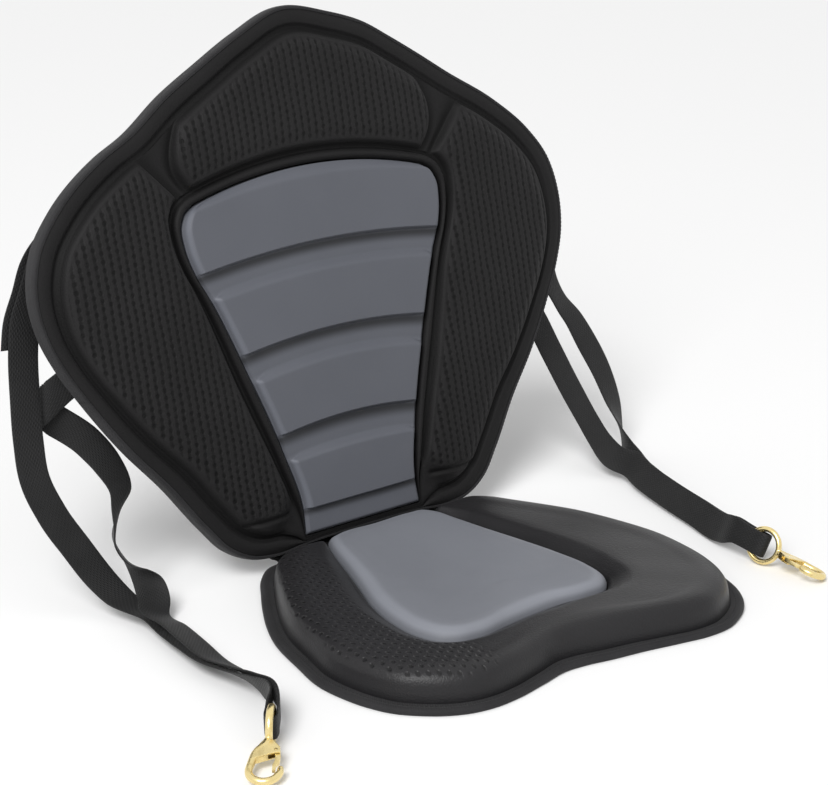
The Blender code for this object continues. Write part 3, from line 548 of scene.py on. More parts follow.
# grey panel: its grid, and a wall that drops straight from the rim to the pocket's floor
def buildLumbar():
    flat, lift, shade = lumbarGrid()
    rows, cols = lift.shape
    surface = onBack(flat, lift).reshape(-1, 3)
    rim = gridRim(rows, cols)
    drops = [onBack(flat.reshape(-1, 2)[rim], lift.reshape(-1)[rim] * (1 - k) - k * (back["pocket"] - gap))
             for k in (0.5, 1.0)]
    points = np.vstack((surface, *drops, drops[-1].mean(axis=0)))
    count, start = len(rim), rows * cols
    ring = start + np.arange(count)
    faces = [gridFaces(rows, cols, wrapCols=False),
             np.stack((rim, ring, np.roll(ring, -1), np.roll(rim, -1)), axis=-1),
             gridFaces(2, count, start=start)[:, ::-1], fanFaces(ring + count, start + 2 * count)]
    # the drop wall into the pocket is painted in shade
    marks = dict(shade=np.concatenate((shade.ravel(), np.full(2 * count + 1, 0.8))))
    piece = makeObject("lumbarPad", points, faces, greyFoam, marks)
    settle(piece, ["lumbar_panel"])


# a direction's angle above the horizontal, alike on both sides
def degreesUp(turn):
    return np.degrees(np.arctan2(np.sin(turn), np.abs(np.cos(turn))))


# columns of the mesh lean inwards at the rim, which rounds the ends of the top panel
def channelLean(turn):
    up = degreesUp(turn)
    lean = back["climb"] * ease(up, back["low"], back["high"])
    lean = lean * (1 - ease(up, back["high"] + back["soft"], 89))
    return np.radians(lean) * np.sign(np.cos(turn))


# extra columns beside the channels, and the pocket's corners met exactly
def backTurns():
    corner = lumbarRimLine(back["pocketGap"])[0]
    turn = fullTurn(back["columns"])
    for sign in (-1, 1):
        at = math.atan2(corner[1] - backHub[1], corner[0] * sign)
        turn[np.argmin(np.abs(turn - at))] = at
    fine = np.radians(np.arange(44, 57, 0.35))
    extra = np.concatenate((fine, math.pi - fine))
    clear = np.abs(turn[:, None] - extra).min(axis=1) > math.radians(0.12)
    return np.sort(np.concatenate((turn[clear], extra)))


backOutline = bothSides(backRight, backLeft, back["width"], back["height"])
pocketLine = lumbarRimLine(back["pocketGap"])


# the pocket's edge, the shell's edge, and how far the bands between them are squeezed where it is narrow
def backEdges(turn):
    inner = radii(pocketLine, backHub, turn)
    shell = radii(backOutline, backHub, turn) - back["tape"] - gap
    return inner, shell, np.minimum(1.0, (shell - inner) / 0.055)


# rise of a raised panel: a smooth step from each edge and from the channels, and a slight crown
def panelLift(share, turn, room):
    near = np.minimum(share, 1 - share) * room
    step = 0.62 * ease(near, 0.0, 0.0055) + 0.38 * ease(near, 0.0, 0.016)
    crown = 0.86 + 0.14 * np.sin(math.pi * share)
    up = degreesUp(turn)
    away = np.maximum(up - back["high"], back["low"] - up)
    clear = 0.6 * ease(away, 0.0, 1.5) + 0.4 * ease(away, 0.0, back["soft"] + 1.0)
    return back["rise"] * step * crown * clear * ease(room, 0.02, 0.05)


# black shell: rings of points from the pocket's wall over the bead, the groove, the panels, the border and
# down to the rear, each a radius and a lift along the same directions from the hub
def buildBack():
    turn = backTurns()
    lean = channelLean(turn)
    inner, _, squeeze = backEdges(turn)
    same = np.ones_like(turn)
    # the shade of each ring is painted: shade in the pocket, at the bead's feet, in the grooves, at the
    # panels' feet, in the crease and on the rear, and a highlight on the panels' rounded edges
    rows = []            # direction, radius, lift, dots and shade of each ring of points
    # the pocket's wall, painted in shade
    for lift in (-back["pocket"], -0.003, 0.0, 0.0008):
        rows.append((turn, inner, lift * same, 0 * same, 0.55 * same))
    for a in np.linspace(0.03, 1.0, 16):
        rise = back["bead"] * np.sin(math.pi * a) ** 0.62 - 0.0008 * ease(a, 0.85, 1.0)
        # painted shade at both feet of the bead
        dark = 1.05 - 0.35 * ease(0.2 - a, 0.0, 0.2) - 0.5 * ease(a, 0.8, 1.0)
        rows.append((turn, inner + a * back["rim"] * squeeze, rise * squeeze + 0.0008, 0 * same, dark * same))
    # the groove beyond the bead, painted in shade
    for a in (1.07, 1.15, 1.22, 1.3, 1.36):
        rise = -0.0008 - 0.0008 * math.sin(math.pi * (a - 1.0) / 0.4)
        rows.append((turn, inner + a * back["rim"] * squeeze, rise * squeeze + 0.0008, 0 * same, 0.4 * same))
    border = back["border"] - back["tape"]
    shares = np.unique(np.concatenate((np.linspace(0.004, 0.17, 17), np.linspace(0.17, 0.83, 24),
                                       np.linspace(0.83, 0.996, 17))))
    for share in shares:
        bent = turn + lean * share**3
        inner, shell, squeeze = backEdges(bent)
        start = inner + back["panelStart"] * back["rim"] * squeeze
        end = shell - (border + back["outerGroove"]) * squeeze
        room = end - start
        radius = start + room * share
        flat = polar(backHub, radius, bent)
        rise = panelLift(share, turn, room)
        wave = back["wave"] * softWave(flat[:, 0], flat[:, 1]) * ease(rise, 0.003, 0.006)
        up = degreesUp(turn)
        away = np.maximum(up - back["high"], back["low"] - up) * np.pi / 180 * radius
        inside = np.minimum(np.minimum(room * share, room * (1 - share)), away)
        # painted shade along each panel's foot, where it meets a groove or a channel
        foot = (1 - ease(inside, 0.0004, 0.0034)) * ease(inside, -0.0055, -0.001)
        rise = rise - back["foot"] * foot * ease(room, 0.02, 0.04)
        dots = ease(inside, *back["dots"]) * ease(room, 0.03, 0.045)
        # painted highlight on the panels' rounded edges
        paintedEdgeHighlight = ease(inside, 0.0025, 0.005) * ease(-inside, -0.012, -0.007)
        # the crease is pressed into the foam and also painted in shade
        crease = np.exp(-((flat[:, 1] - back["crease"]) / back["creaseWide"]) ** 2)
        crease = crease * ease(rise, 0.0005, 0.003)
        rise = rise - back["creaseDeep"] * crease
        dots = dots * ease(flat[:, 1], back["crease"] + 0.003, back["crease"] + 0.007)
        shade = 1.0 - 0.66 * foot + 0.28 * paintedEdgeHighlight - 0.6 * crease
        rows.append((bent, radius, 0.0014 + rise + wave, dots, shade))       # 0.0014: the groove's lip
    turn = turn + lean
    _, shell, squeeze = backEdges(turn)
    # the outer groove, painted in shade
    for a in np.linspace(0, 1, 9):
        rise = 0.0012 * a - 0.0022 * math.sin(math.pi * a)
        rows.append((turn, shell - (border + back["outerGroove"] * (1 - a)) * squeeze, rise * same, 0 * same,
                     (1 - 0.64 * float(ease(1 - a, 0.15, 0.6))) * same))
    for a in np.linspace(0.08, 1, 12):
        rise = 0.0012 + 0.0010 * math.sin(math.pi * a) - 0.0004 * a
        rows.append((turn, shell - border * squeeze * (1 - a), rise * same, 0 * same, same))
    # the rear edge, painted in shade
    for lift in (-0.003, -0.008, -back["core"]):
        rows.append((turn, shell, lift * same, 0 * same, 0.8 * same))
    rings = np.array([onBack(polar(backHub, radius, at), lift) for at, radius, lift, _, _ in rows])
    points, faces = cappedGrid(rings)
    marks = {label: np.concatenate((np.array([row[place] for row in rows]).ravel(), (0.0, 0.5)))
             for label, place in (("dots", 3), ("shade", 4))}
    piece = makeObject("backFoam", points, faces, blackFoam, marks)
    settle(piece, ["back_shell"])


# distance travelled along each ring of a grid, for weaves that follow it
def runLength(rings):
    step = np.linalg.norm(np.diff(rings, axis=1, append=rings[:, :1]), axis=2)
    return np.cumsum(step, axis=1) - step


# cloth on the rear, bonded to the foam: flat in the middle, rolled over at its edge
def buildRearCover():
    turn = fullTurn(360)
    shell = radii(backOutline, backHub, turn) - back["tape"] - gap
    front = -back["core"] - gap
    rear = front - back["cover"]
    profile = ((-0.010, front), (0.0, front), (0.0, front - 0.0006), (-0.0005, rear + 0.0006),
               (-0.0015, rear + 0.0002), (-0.004, rear), (-0.010, rear + 0.0003), (-0.0115, rear + 0.0007),
               (-0.013, rear + 0.0003), (-0.018, rear), (-0.05, rear))
    rings = [onBack(polar(backHub, shell + inset, turn), lift) for inset, lift in profile]
    for share in (0.55, 0.35, 0.15):
        rings.append(onBack(polar(backHub, shell * share, turn), rear))
    points, faces = cappedGrid(np.array(rings))
    origin = onBack((0, 0), 0)
    up = onBack((0, 1), 0) - origin
    cloth = np.column_stack((points[:, 0], (points - origin) @ up, np.zeros(len(points))))
    piece = makeObject("rearCover", points, faces, coverCloth, dict(cloth=cloth))
    settle(piece, ["back_rear_cover"])


# closed tape round an outline; its weave follows it, and the distance round its section
def buildTape(name, rings, section, node):
    run = runLength(rings)
    cloth = np.stack((lengthAlong(section)[:, None] + 0 * run, run, 0 * run), axis=-1).reshape(-1, 3)
    rows, cols = rings.shape[:2]
    piece = makeObject(name, rings.reshape(-1, 3), [gridFaces(rows, cols, wrapRows=True)], tapeCloth,
                       dict(cloth=cloth))
    settle(piece, [node])


# folded tape round the back, as a closed loop of rounded sections
def buildBackTape():
    turn = fullTurn(720)
    outer = radii(backOutline, backHub, turn)
    deep = -back["core"] - gap - back["cover"]
    wide = back["tape"]
    section = smoothLine(((-wide + 0.0002, deep), (-0.4 * wide, deep + 0.0001), (-0.12 * wide, deep + 0.0012),
                          (0.0, deep + 0.004), (0.0, -0.0050), (-0.10 * wide, -0.0012), (-0.5 * wide, 0.0012),
                          (-wide + 0.0003, 0.0014)), 5, path=2)
    section = np.vstack((section, ((-wide, 0.0010), (-wide, deep + 0.0004))))
    rings = np.array([onBack(polar(backHub, outer + r, turn), n) for r, n in section])
    buildTape("backTape", rings, section, "back_binding")


buildLumbar()
buildBack()
buildRearCover()
buildBackTape()
print("back made")


# Base, in metres; its outlines are in shares of its half width and its depth

base = dict(width=0.364, depth=0.299, rise=0.0275, rear=0.0085, sheet=0.002, flange=0.011,
            flangeHeight=0.006, insert=0.0275, columns=560)
baseHub = np.array((0.0, -0.50 * base["depth"]))
baseLeft = (
    (0.0, -0.925), (0.10, -0.919), (0.25, -0.936), (0.40, -0.952), (0.533, -0.954), (0.637, -0.940),
    (0.725, -0.913), (0.802, -0.876), (0.868, -0.833), (0.925, -0.765), (0.955, -0.70), (0.973, -0.619),
    (0.945, -0.492), (0.90, -0.36), (0.84, -0.27), (0.77, -0.19), (0.69, -0.11), (0.60, -0.03),
    (0.52, 0.012), (0.40, 0.022), (0.0, 0.022),
)
baseRight = (
    (0.0, -0.925), (0.11, -0.940), (0.27, -0.957), (0.44, -0.980), (0.593, -0.997), (0.709, -0.993),
    (0.791, -0.973), (0.863, -0.946), (0.923, -0.910), (0.975, -0.860), (1.015, -0.790), (1.042, -0.690),
    (1.046, -0.580), (1.018, -0.468), (0.978, -0.375), (0.923, -0.284), (0.852, -0.201), (0.769, -0.120),
    (0.670, -0.033), (0.571, 0.010), (0.412, 0.022), (0.0, 0.022),
)
# the pad's visible edge: a few millimetres inside the cut pocket, where its foot is tucked in
insertLeft = (
    (0.0, -0.712), (0.128, -0.719), (0.30, -0.731), (0.40, -0.719), (0.46, -0.690), (0.500, -0.630),
    (0.505, -0.547), (0.468, -0.42), (0.405, -0.315), (0.345, -0.207), (0.300, -0.120), (0.265, -0.062),
    (0.24, -0.036), (0.20, -0.027), (0.0, -0.027),
)
insertRight = (
    (0.0, -0.712), (0.148, -0.709), (0.30, -0.722), (0.40, -0.717), (0.46, -0.685), (0.488, -0.61),
    (0.475, -0.50), (0.43, -0.36), (0.385, -0.245), (0.345, -0.135), (0.315, -0.062), (0.28, -0.034),
    (0.21, -0.027), (0.0, -0.027),
)
baseOutline = bothSides(baseRight, baseLeft, base["width"], base["depth"])
insertOutline = bothSides(insertRight, insertLeft, base["width"], base["depth"])
# the ring's section as (distance, drop below the rim): from the pocket outwards, and from its foot inwards
ringInner = np.array(((0.0, 0.0110), (0.0007, 0.0097), (0.002, 0.0085), (0.005, 0.0070), (0.010, 0.0043),
                      (0.017, 0.0013), (0.024, 0.0006)))
ringOuter = np.array(((0.030, 0.0003), (0.018, 0.0), (0.0115, 0.0010), (0.0065, 0.0035), (0.003, 0.0080),
                      (0.0012, 0.0145), (0.0, 0.0230)))


# points at a radius and a direction from the base's hub, at a height
def baseSpot(radius, turn, height):
    return np.column_stack((polar(baseHub, radius, turn), np.broadcast_to(height, turn.shape)))


# black ring: rings of points from the pocket's wall over the rim to the foot, sinking towards the hinge
def buildRing():
    turn = fullTurn(base["columns"])
    foot = radii(baseOutline, baseHub, turn) - base["flange"] - gap
    pocket = radii(insertOutline, baseHub, turn) + back["pocketGap"]
    squeeze = np.minimum(1.0, (foot - pocket + back["pocketGap"]) / 0.06)
    same = np.ones_like(turn)
    rings, dots, shades = [], [], []

    def add(radius, height, shade, dotted=0.0):
        flat = polar(baseHub, radius, turn)
        rear = ease(flat[:, 1], -0.068 * base["depth"], -0.034 * base["depth"])
        low = np.minimum(height, base["rear"])
        wave = 0.0003 * softWave(flat[:, 0], flat[:, 1]) if height > 0.02 else 0.0
        rings.append(baseSpot(radius, turn, low + (height - low) * (1 - rear) + wave * (1 - rear)))
        left = ease(-flat[:, 0], 0.070, 0.092) * ease(-flat[:, 1], 0.015, 0.035)
        dots.append(dotted * left)
        shades.append(shade * same)

    # the pocket's wall, painted in shade
    add(pocket, 0.0055, 0.5)
    for across, drop in smoothLine(ringInner, 5, path=2):
        dotted = float(ease(across, 0.013, 0.019))
        # painted shade on the lower part of the inner lip
        shade = 0.62 + 0.38 * float(ease(across, 0, 0.012))
        add(pocket + across * squeeze, base["rise"] - drop, shade, dotted)
    reach = foot - 0.030 * squeeze - (pocket + 0.024 * squeeze)
    for share in np.linspace(0, 1, 12)[1:-1]:
        add(pocket + 0.024 * squeeze + reach * share, base["rise"] - 0.0006 + 0.0003 * share, 1.0, 1.0)
    for inset, drop in smoothLine(ringOuter, 6, path=2):
        add(foot - inset * squeeze, base["rise"] - drop, 1.0, float(ease(inset, 0.004, 0.008)))
    # the foot, painted in shade
    add(foot, base["sheet"] + gap, 0.5)
    points, faces = cappedGrid(np.array(rings))
    marks = dict(dots=np.concatenate((np.ravel(dots), (0, 0))),
                 shade=np.concatenate((np.ravel(shades), (0.5, 0.5))))
    piece = makeObject("baseFoam", points, faces, ringFoam, marks)
    settle(piece, ["base_shell"])


# grey seat panel: rounded shoulder, then a nearly flat top with a slow crown
def buildSeatPad():
    turn = fullTurn(420)
    edge = radii(insertOutline, baseHub, turn)
    line = smoothLine(((0.0, 0.0180), (0.0012, 0.0208), (0.0040, 0.0238), (0.0085, 0.0262), (0.014, 0.0273),
                       (0.026, 0.0277), (0.055, 0.0275)), 8, path=2)
    rings = [baseSpot(edge, turn, base["sheet"] + 0.0038), baseSpot(edge, turn, 0.012)]
    # the pad's lower wall, painted in shade
    shades = [0.7, 0.85]

    def add(radius, height, shade):
        flat = polar(baseHub, radius, turn)
        rings.append(baseSpot(radius, turn, height + 0.0002 * softWave(flat[:, 0], flat[:, 1], 0.7)))
        shades.append(shade)

    for inset, height in line:
        # painted highlight along the shoulder, where the light falls
        paintedShoulderLight = 1.0 + 0.30 * float(ease(inset, 0.001, 0.004) * ease(-inset, -0.014, -0.007))
        add(np.maximum(edge - inset, 0.3 * edge), height, paintedShoulderLight)
    last = np.maximum(edge - line[-1][0], 0.3 * edge)
    for share in (0.75, 0.5, 0.25):
        add(last * share, base["insert"], 1.0)
    points, faces = cappedGrid(np.array(rings))
    shade = np.concatenate((np.repeat(shades, len(turn)), (0.7, 1.0)))
    piece = makeObject("seatPad", points, faces, paintedLitSeatFoam, dict(shade=shade))
    settle(piece, ["base_insert"])


# cloth under the base: flat on the floor, and turned up at its edge to meet the foam
def buildUnderside():
    turn = fullTurn(360)
    foot = radii(baseOutline, baseHub, turn) - base["flange"] - gap
    rings = [baseSpot(foot * share, turn, base["sheet"]) for share in (0.3, 0.7, 1.0)]
    rings += [baseSpot(foot, turn, 0.0004), baseSpot(foot - 0.0005, turn, 0.0)]
    rings += [baseSpot(foot * share, turn, 0.0) for share in (0.8, 0.5, 0.2)]
    points, faces = cappedGrid(np.array(rings))
    cloth = np.column_stack((points[:, :2], np.zeros(len(points))))
    piece = makeObject("baseUnderside", points, faces, coverCloth, dict(cloth=cloth))
    settle(piece, ["base_underside"])


# sewn flange and tape round the base, rounded at its outer edge
def buildBaseTape():
    turn = fullTurn(720)
    outer = radii(baseOutline, baseHub, turn)
    wide, tall = base["flange"], base["flangeHeight"]
    section = smoothLine(((-wide, 0.0001), (-0.5 * wide, 0.0), (-0.0014, 0.0), (-0.0002, 0.0014),
                          (0.0, 0.0028), (-0.0008, 0.0046), (-0.0026, 0.0054), (-0.6 * wide, 0.0049),
                          (-wide, 0.0046)), 5, path=2)
    section[:, 1] = np.clip(section[:, 1], 0, tall)
    rings = np.array([baseSpot(outer + r, turn, z) for r, z in section])
    buildTape("baseTape", rings, section, "base_binding")


buildRing()
buildSeatPad()
buildUnderside()
buildBaseTape()
print("base made")


# Webbing

web = dict(width=0.025, thick=0.0018, hingeWidth=0.174, hingeThick=0.0014, pinch=(0.84, 0.78, 0.77))


# band along a line: at each centre a rounded oblong section, wide along the ruling and thick square to it
def bandRings(centres, wides, width, thick, sides=22):
    normal = np.cross(unit(np.gradient(centres, axis=0)), wides)
    long = np.linalg.norm(normal, axis=1, keepdims=True)
    wides, normal = wides / long, normal / long
    turn = (np.arange(sides) + 0.5) * 2 * math.pi / sides
    a = np.sign(np.cos(turn)) * np.abs(np.cos(turn)) ** 0.45
    b = np.sign(np.sin(turn)) * np.abs(np.sin(turn)) ** 0.40
    half = np.broadcast_to(width, (len(centres),))[:, None, None] / 2
    wide = half * a[None, :, None] * wides[:, None]
    deep = thick / 2 * b[None, :, None] * normal[:, None]
    return centres[:, None] + wide + deep, a


# a band as one piece; its weave runs along it and across it
def buildBand(name, centres, wides, width, thick, material, node):
    rings, a = bandRings(centres, wides, width, thick)
    points, faces = cappedGrid(rings)
    run = lengthAlong(centres)
    wide = np.broadcast_to(width, (len(centres),))
    along = run[:, None] + 0 * a
    cloth = np.stack((a * wide[:, None] / 2, along, 0 * along), axis=-1)
    cloth = np.vstack((cloth.reshape(-1, 3), (0, 0, 0), (0, run[-1], 0)))
    piece = makeObject(name, points, faces, material, dict(cloth=cloth))
    settle(piece, [node])
    print(name, "is", round(float(run[-1]), 3), "m long")


# cloth strip from the back's rear, round the joint and onto the base's rear edge
def buildHinge():
    thick = web["hingeThick"]
    behind = -back["core"] - gap - back["cover"] - gap - thick / 2
    z = base["rear"] + gap + thick / 2
    up = onBack(np.array([(0, 0.036), (0, 0.020), (0, 0.004), (0, -0.0075)]), behind)
    low = np.array([(0, up[-1][1] - 0.0016, z - 0.0009), (0, up[-1][1] - 0.0040, z - 0.0010), (0, 0.004, z),
                    (0, -0.006, z)])
    line = smoothLine(np.vstack((up, low)), 10)
    buildBand("hingeCloth", line, np.tile((1.0, 0, 0), (len(line), 1)), web["hingeWidth"], thick, coverCloth,
              "hinge_strip")


# Stitches: one short thread with domed ends, repeated from end to end; swing is in shares of the width

stitch = dict(radius=0.00028, sides=6, lift=0.00006, step=0.0034, zigzag=0.0030, swing=0.34)


# ends of even stitches round a closed line, with the share of each step that shows as thread
def stitchEnds(line, showing=0.66):
    line = np.vstack((line, line[:1]))
    run = lengthAlong(line)
    count = int(run[-1] / stitch["step"])
    start = np.arange(count) * run[-1] / count
    return pickAlong(start, run, line), pickAlong(start + showing * run[-1] / count, run, line)


# threads between pairs of points: four rings of a few sides and a tip at each end, all in one mesh
def buildStitches(name, starts, ends, slotName):
    along = ends - starts
    long = np.linalg.norm(along, axis=1, keepdims=True)
    along = along / long
    up = np.where(np.abs(along[:, 2:]) > 0.9, (1.0, 0, 0), (0, 0, 1.0))
    beside = unit(np.cross(along, up))
    above = np.cross(beside, along)
    count, sides = len(starts), stitch["sides"]
    turn = fullTurn(sides, 0.0)
    spoke = np.cos(turn)[None, :, None] * beside[:, None] + np.sin(turn)[None, :, None] * above[:, None]
    shares = ((0.02, 0.45), (0.14, 1.0), (0.86, 1.0), (0.98, 0.45))
    rings = np.stack([(starts + along * long * s)[:, None] + stitch["radius"] * k * spoke
                      for s, k in shares], axis=1)
    tips = np.stack((starts, ends), axis=1)
    points = np.concatenate((rings.reshape(count, -1, 3), tips), axis=1).reshape(-1, 3)
    walls = gridFaces(4, sides)
    caps = np.vstack((fanFaces(np.arange(sides), 4 * sides),
                      fanFaces(np.arange(sides) + 3 * sides, 4 * sides + 1)[:, ::-1]))
    first = (np.arange(count) * (4 * sides + 2))[:, None, None]
    faces = [(walls[None] + first).reshape(-1, 4), (caps[None] + first).reshape(-1, 3)]
    run = (rings - starts[:, None, None]).reshape(count, -1, 3)
    cloth = np.concatenate((run, np.zeros((count, 2, 3))), axis=1).reshape(-1, 3)
    settle(makeObject(name, points, faces, thread, dict(cloth=cloth)))


# one row of stitches on each tape
def buildTapeStitches():
    turn = fullTurn(1400)
    outer = radii(backOutline, backHub, turn)
    line = onBack(polar(backHub, outer - 0.5 * back["tape"], turn), 0.0012 + stitch["lift"])
    buildStitches("backTapeStitches", *stitchEnds(line), "binding_tape")
    outer = radii(baseOutline, baseHub, turn)
    line = baseSpot(outer - 0.6 * base["flange"], turn, 0.0049 + stitch["lift"])
    buildStitches("baseTapeStitches", *stitchEnds(line), "binding_tape")


# zigzag across a band between two distances along it, on the face towards the given side
def zigzag(centres, wides, low, high, face):
    run = lengthAlong(centres)
    normal = unit(np.cross(np.gradient(centres, axis=0), wides))
    count = int((high - low) / stitch["zigzag"])
    at = np.linspace(low, high, count)
    middle, wide, up = [pickAlong(at, run, part) for part in (centres, wides, normal)]
    swing = np.where(np.arange(count) % 2, 1.0, -1.0)[:, None] * stitch["swing"] * web["width"]
    line = middle + wide * swing + face * (web["thick"] / 2 + stitch["lift"]) * up
    return line[:-1], line[1:]


# Hooks: across, along and out of the hook's own plane; a hook's place is a share of the half width and of
# the base's depth, then its heading and its roll in degrees

hook = dict(length=0.075, eye=0.0135, eyeWire=0.0023, loop=0.026, wire=0.0027, pitch=math.radians(10.8),
            gateLength=0.0193, gateWidth=0.0042, pin=0.0009, hinge=(0.0060, 0.0267), shoulder=0.0058,
            voxel=0.00036)
hookPlace = {-1: (-0.970, -0.782, 229.8, 180), 1: (0.909, -0.763, 279, 20)}


# the eye's middle and the hook's three directions, at rest on the floor by its eye and its bend
def hookFrame(side):
    x, y, heading, roll = hookPlace[side]
    eye = np.array((x * back["width"] / 2, y * base["depth"], hook["eye"] + hook["eyeWire"] + 0.0002))
    heading, roll, pitch = math.radians(heading), math.radians(roll), hook["pitch"]
    flat, up = np.array((math.cos(heading), math.sin(heading), 0)), np.array((0, 0, 1.0))
    along = flat * math.cos(pitch) - up * math.sin(pitch)
    out = flat * math.sin(pitch) + up * math.cos(pitch)
    across = np.cross(along, out)
    return (eye, along, across * math.cos(roll) + out * math.sin(roll),
            out * math.cos(roll) - across * math.sin(roll))


# points of a hook's own plane, in the world
def fromHook(points, side):
    eye, along, across, out = hookFrame(side)
    p = np.asarray(points, float)
    return eye + p[..., :1] * across + p[..., 1:2] * along + p[..., 2:] * out


# Straps: rows are shares of the half width, the base's depth and the back's height, then heading and
# tilt of the webbing's width in degrees, and for the doubled stretch the distance apart in millimetres

leftUpper = (
    (-1.023, 0.237, 0.3972, 0, 0), (-1.042, 0.201, 0.3262, 0, 0), (-1.050, 0.167, 0.2648, 0, 0),
    (-1.019, 0.137, 0.1986, 0, 0), (-0.962, 0.104, 0.1277, 0, 0), (-0.904, 0.060, 0.0603, 0, 0),
    (-0.877, 0.020, 0.0343, 0, -4), (-0.854, -0.027, 0.0225, 0, -10),
)
leftLower = (
    (-0.804, -0.033, 0.0414, -24, 8), (-0.790, 0.017, 0.0567, -58, 30), (-0.800, 0.043, 0.0733, -84, 20),
    (-0.823, 0.067, 0.0898, -104, 6), (-0.846, 0.090, 0.1253, -114, 0), (-0.819, 0.114, 0.1631, -128, 0),
    (-0.781, 0.144, 0.2080, -158, 0), (-0.800, 0.177, 0.2530, -172, -16), (-0.842, 0.207, 0.2955, -180, -36),
)
rightUpper = (
    (1.050, 0.281, 0.3830, 18, 0), (1.085, 0.264, 0.3357, 24, 0), (1.135, 0.244, 0.2884, 12, 0),
    (1.169, 0.214, 0.2364, 2, 0), (1.196, 0.167, 0.1726, 4, -4), (1.192, 0.110, 0.1158, 14, -14),
    (1.173, 0.067, 0.0851, 26, -34), (1.142, 0.017, 0.0615, 44, -56), (1.104, -0.040, 0.0449, 100, -68),
)
rightLower = (
    (1.046, -0.033, 0.0426, 170, -26), (1.042, 0.020, 0.0662, 176, -6), (1.031, 0.074, 0.1087, 180, 0),
    (1.000, 0.127, 0.1749, 180, 0), (0.965, 0.174, 0.2459, 180, 0), (0.923, 0.207, 0.3144, 184, -8),
)
leftBoth = (
    (-0.838, -0.087, 0.0236, 0, -18, 4.4), (-0.842, -0.174, 0.0213, 0, -20, 7),
    (-0.853, -0.281, 0.0225, 0, -20, 6), (-0.864, -0.404, 0.0250, 0, -24, 3.6),
    (-0.848, -0.502, 0.0270, 0, -36, 3.4), (-0.857, -0.592, 0.0335, 0, -60, 3.6),
)
rightBoth = (
    (1.062, -0.107, 0.0343, 165, -50, 7.5), (1.027, -0.194, 0.0319, 165, -51, 4.6),
    (0.988, -0.328, 0.0303, 166, -52, 3), (0.954, -0.468, 0.0303, 168, -58, 3),
    (0.918, -0.594, 0.0331, 172, -66, 3.6),
)
# both strands near the eye: distance from its middle and distance apart, in metres
gather = ((0.026, 0.0058), (0.018, 0.0078), (0.009, 0.0082))
# behind the back: shares of its half width and height, metres behind its plane, slant in degrees
upperRear = ((0.915, 0.610, 0.0214, 30), (0.946, 0.563, 0.0268, 22), (0.984, 0.511, 0.0310, 10),
             (1.000, 0.466, 0.0328, 4))
leftLowerRear = ((0.905, 0.382, 0.0328, 60), (0.850, 0.402, 0.0262, 61), (0.790, 0.424, 0.0196, 62),
                 (0.735, 0.443, 0.0160, 63), (0.680, 0.462, 0.0158, 64))
rightLowerRear = ((0.862, 0.345, 0.0280, 36), (0.796, 0.385, 0.0190, 43), (0.746, 0.416, 0.0158, 45),
                  (0.685, 0.449, 0.0158, 47))
anchorRear = ((0.646, 0.761, 0.0157, 53), (0.738, 0.719, 0.0157, 53), (0.835, 0.669, 0.0176, 44),
              (0.931, 0.610, 0.0246, 30), (0.962, 0.563, 0.0300, 22), (1.000, 0.511, 0.0343, 10),
              (1.016, 0.470, 0.0361, 4))


# direction with a heading in the floor's plane and a lean above it
def headingVector(turn, lean):
    turn, lean = math.radians(turn), math.radians(lean)
    return np.array((math.cos(turn) * math.cos(lean), math.sin(turn) * math.cos(lean), math.sin(lean)))


# centres of a strand's rows, and the direction of its width at each
def strand(rows):
    size = np.array((back["width"] / 2, base["depth"], back["height"]))
    return [np.array(row[:3]) * size for row in rows], [headingVector(*row[3:5]) for row in rows]


# the same for a strand behind the back, given in the back's own plane
def rearStrand(side, rows):
    centres, wides = [], []
    for out, up, behind, slant in rows:
        slant = math.radians(slant)
        centres.append(onBack((side * out * back["width"] / 2, up * back["height"]), -behind))
        wides.append(onBack((math.cos(slant), side * math.sin(slant)), 0) - onBack((0, 0), 0))
    return centres, wides


# the left lower strand turns over on a slanted crease: half a turn of a helix
fold = dict(radius=0.0019, slant=math.radians(51), lean=math.radians(9), out=0.960, up=0.350, behind=0.0382)


def diagonalFold(side):
    radius, lean = fold["radius"], fold["lean"]
    origin = onBack((0, 0), 0)
    crease = onBack((-side * math.sin(lean), math.cos(lean)), 0) - origin
    outward = onBack((side * math.cos(lean), math.sin(lean)), 0) - origin
    normal = onBack((0, 0), 1) - origin
    start = onBack((side * fold["out"] * back["width"] / 2, fold["up"] * back["height"]), -fold["behind"])
    centres = [start + radius * (math.sin(t) * outward - math.cos(t) * normal)
               + crease * radius * t / math.tan(fold["slant"]) for t in np.linspace(0, math.pi, 5)]
    return centres, [-crease] * 5


# middle line, width's direction and distance apart of the two strands that lie together down to the eye
def doubled(side):
    rows = leftBoth if side < 0 else rightBoth
    centres, wides = strand(rows)
    apart = [row[5] / 1000 for row in rows]
    eye, along, _, out = hookFrame(side)
    for distance, wide in gather:
        centres.append(eye - distance * along)
        wides.append(-abs(out[2]) / out[2] * out)
        apart.append(wide)
    return np.array(centres), np.array(wides), np.array(apart)


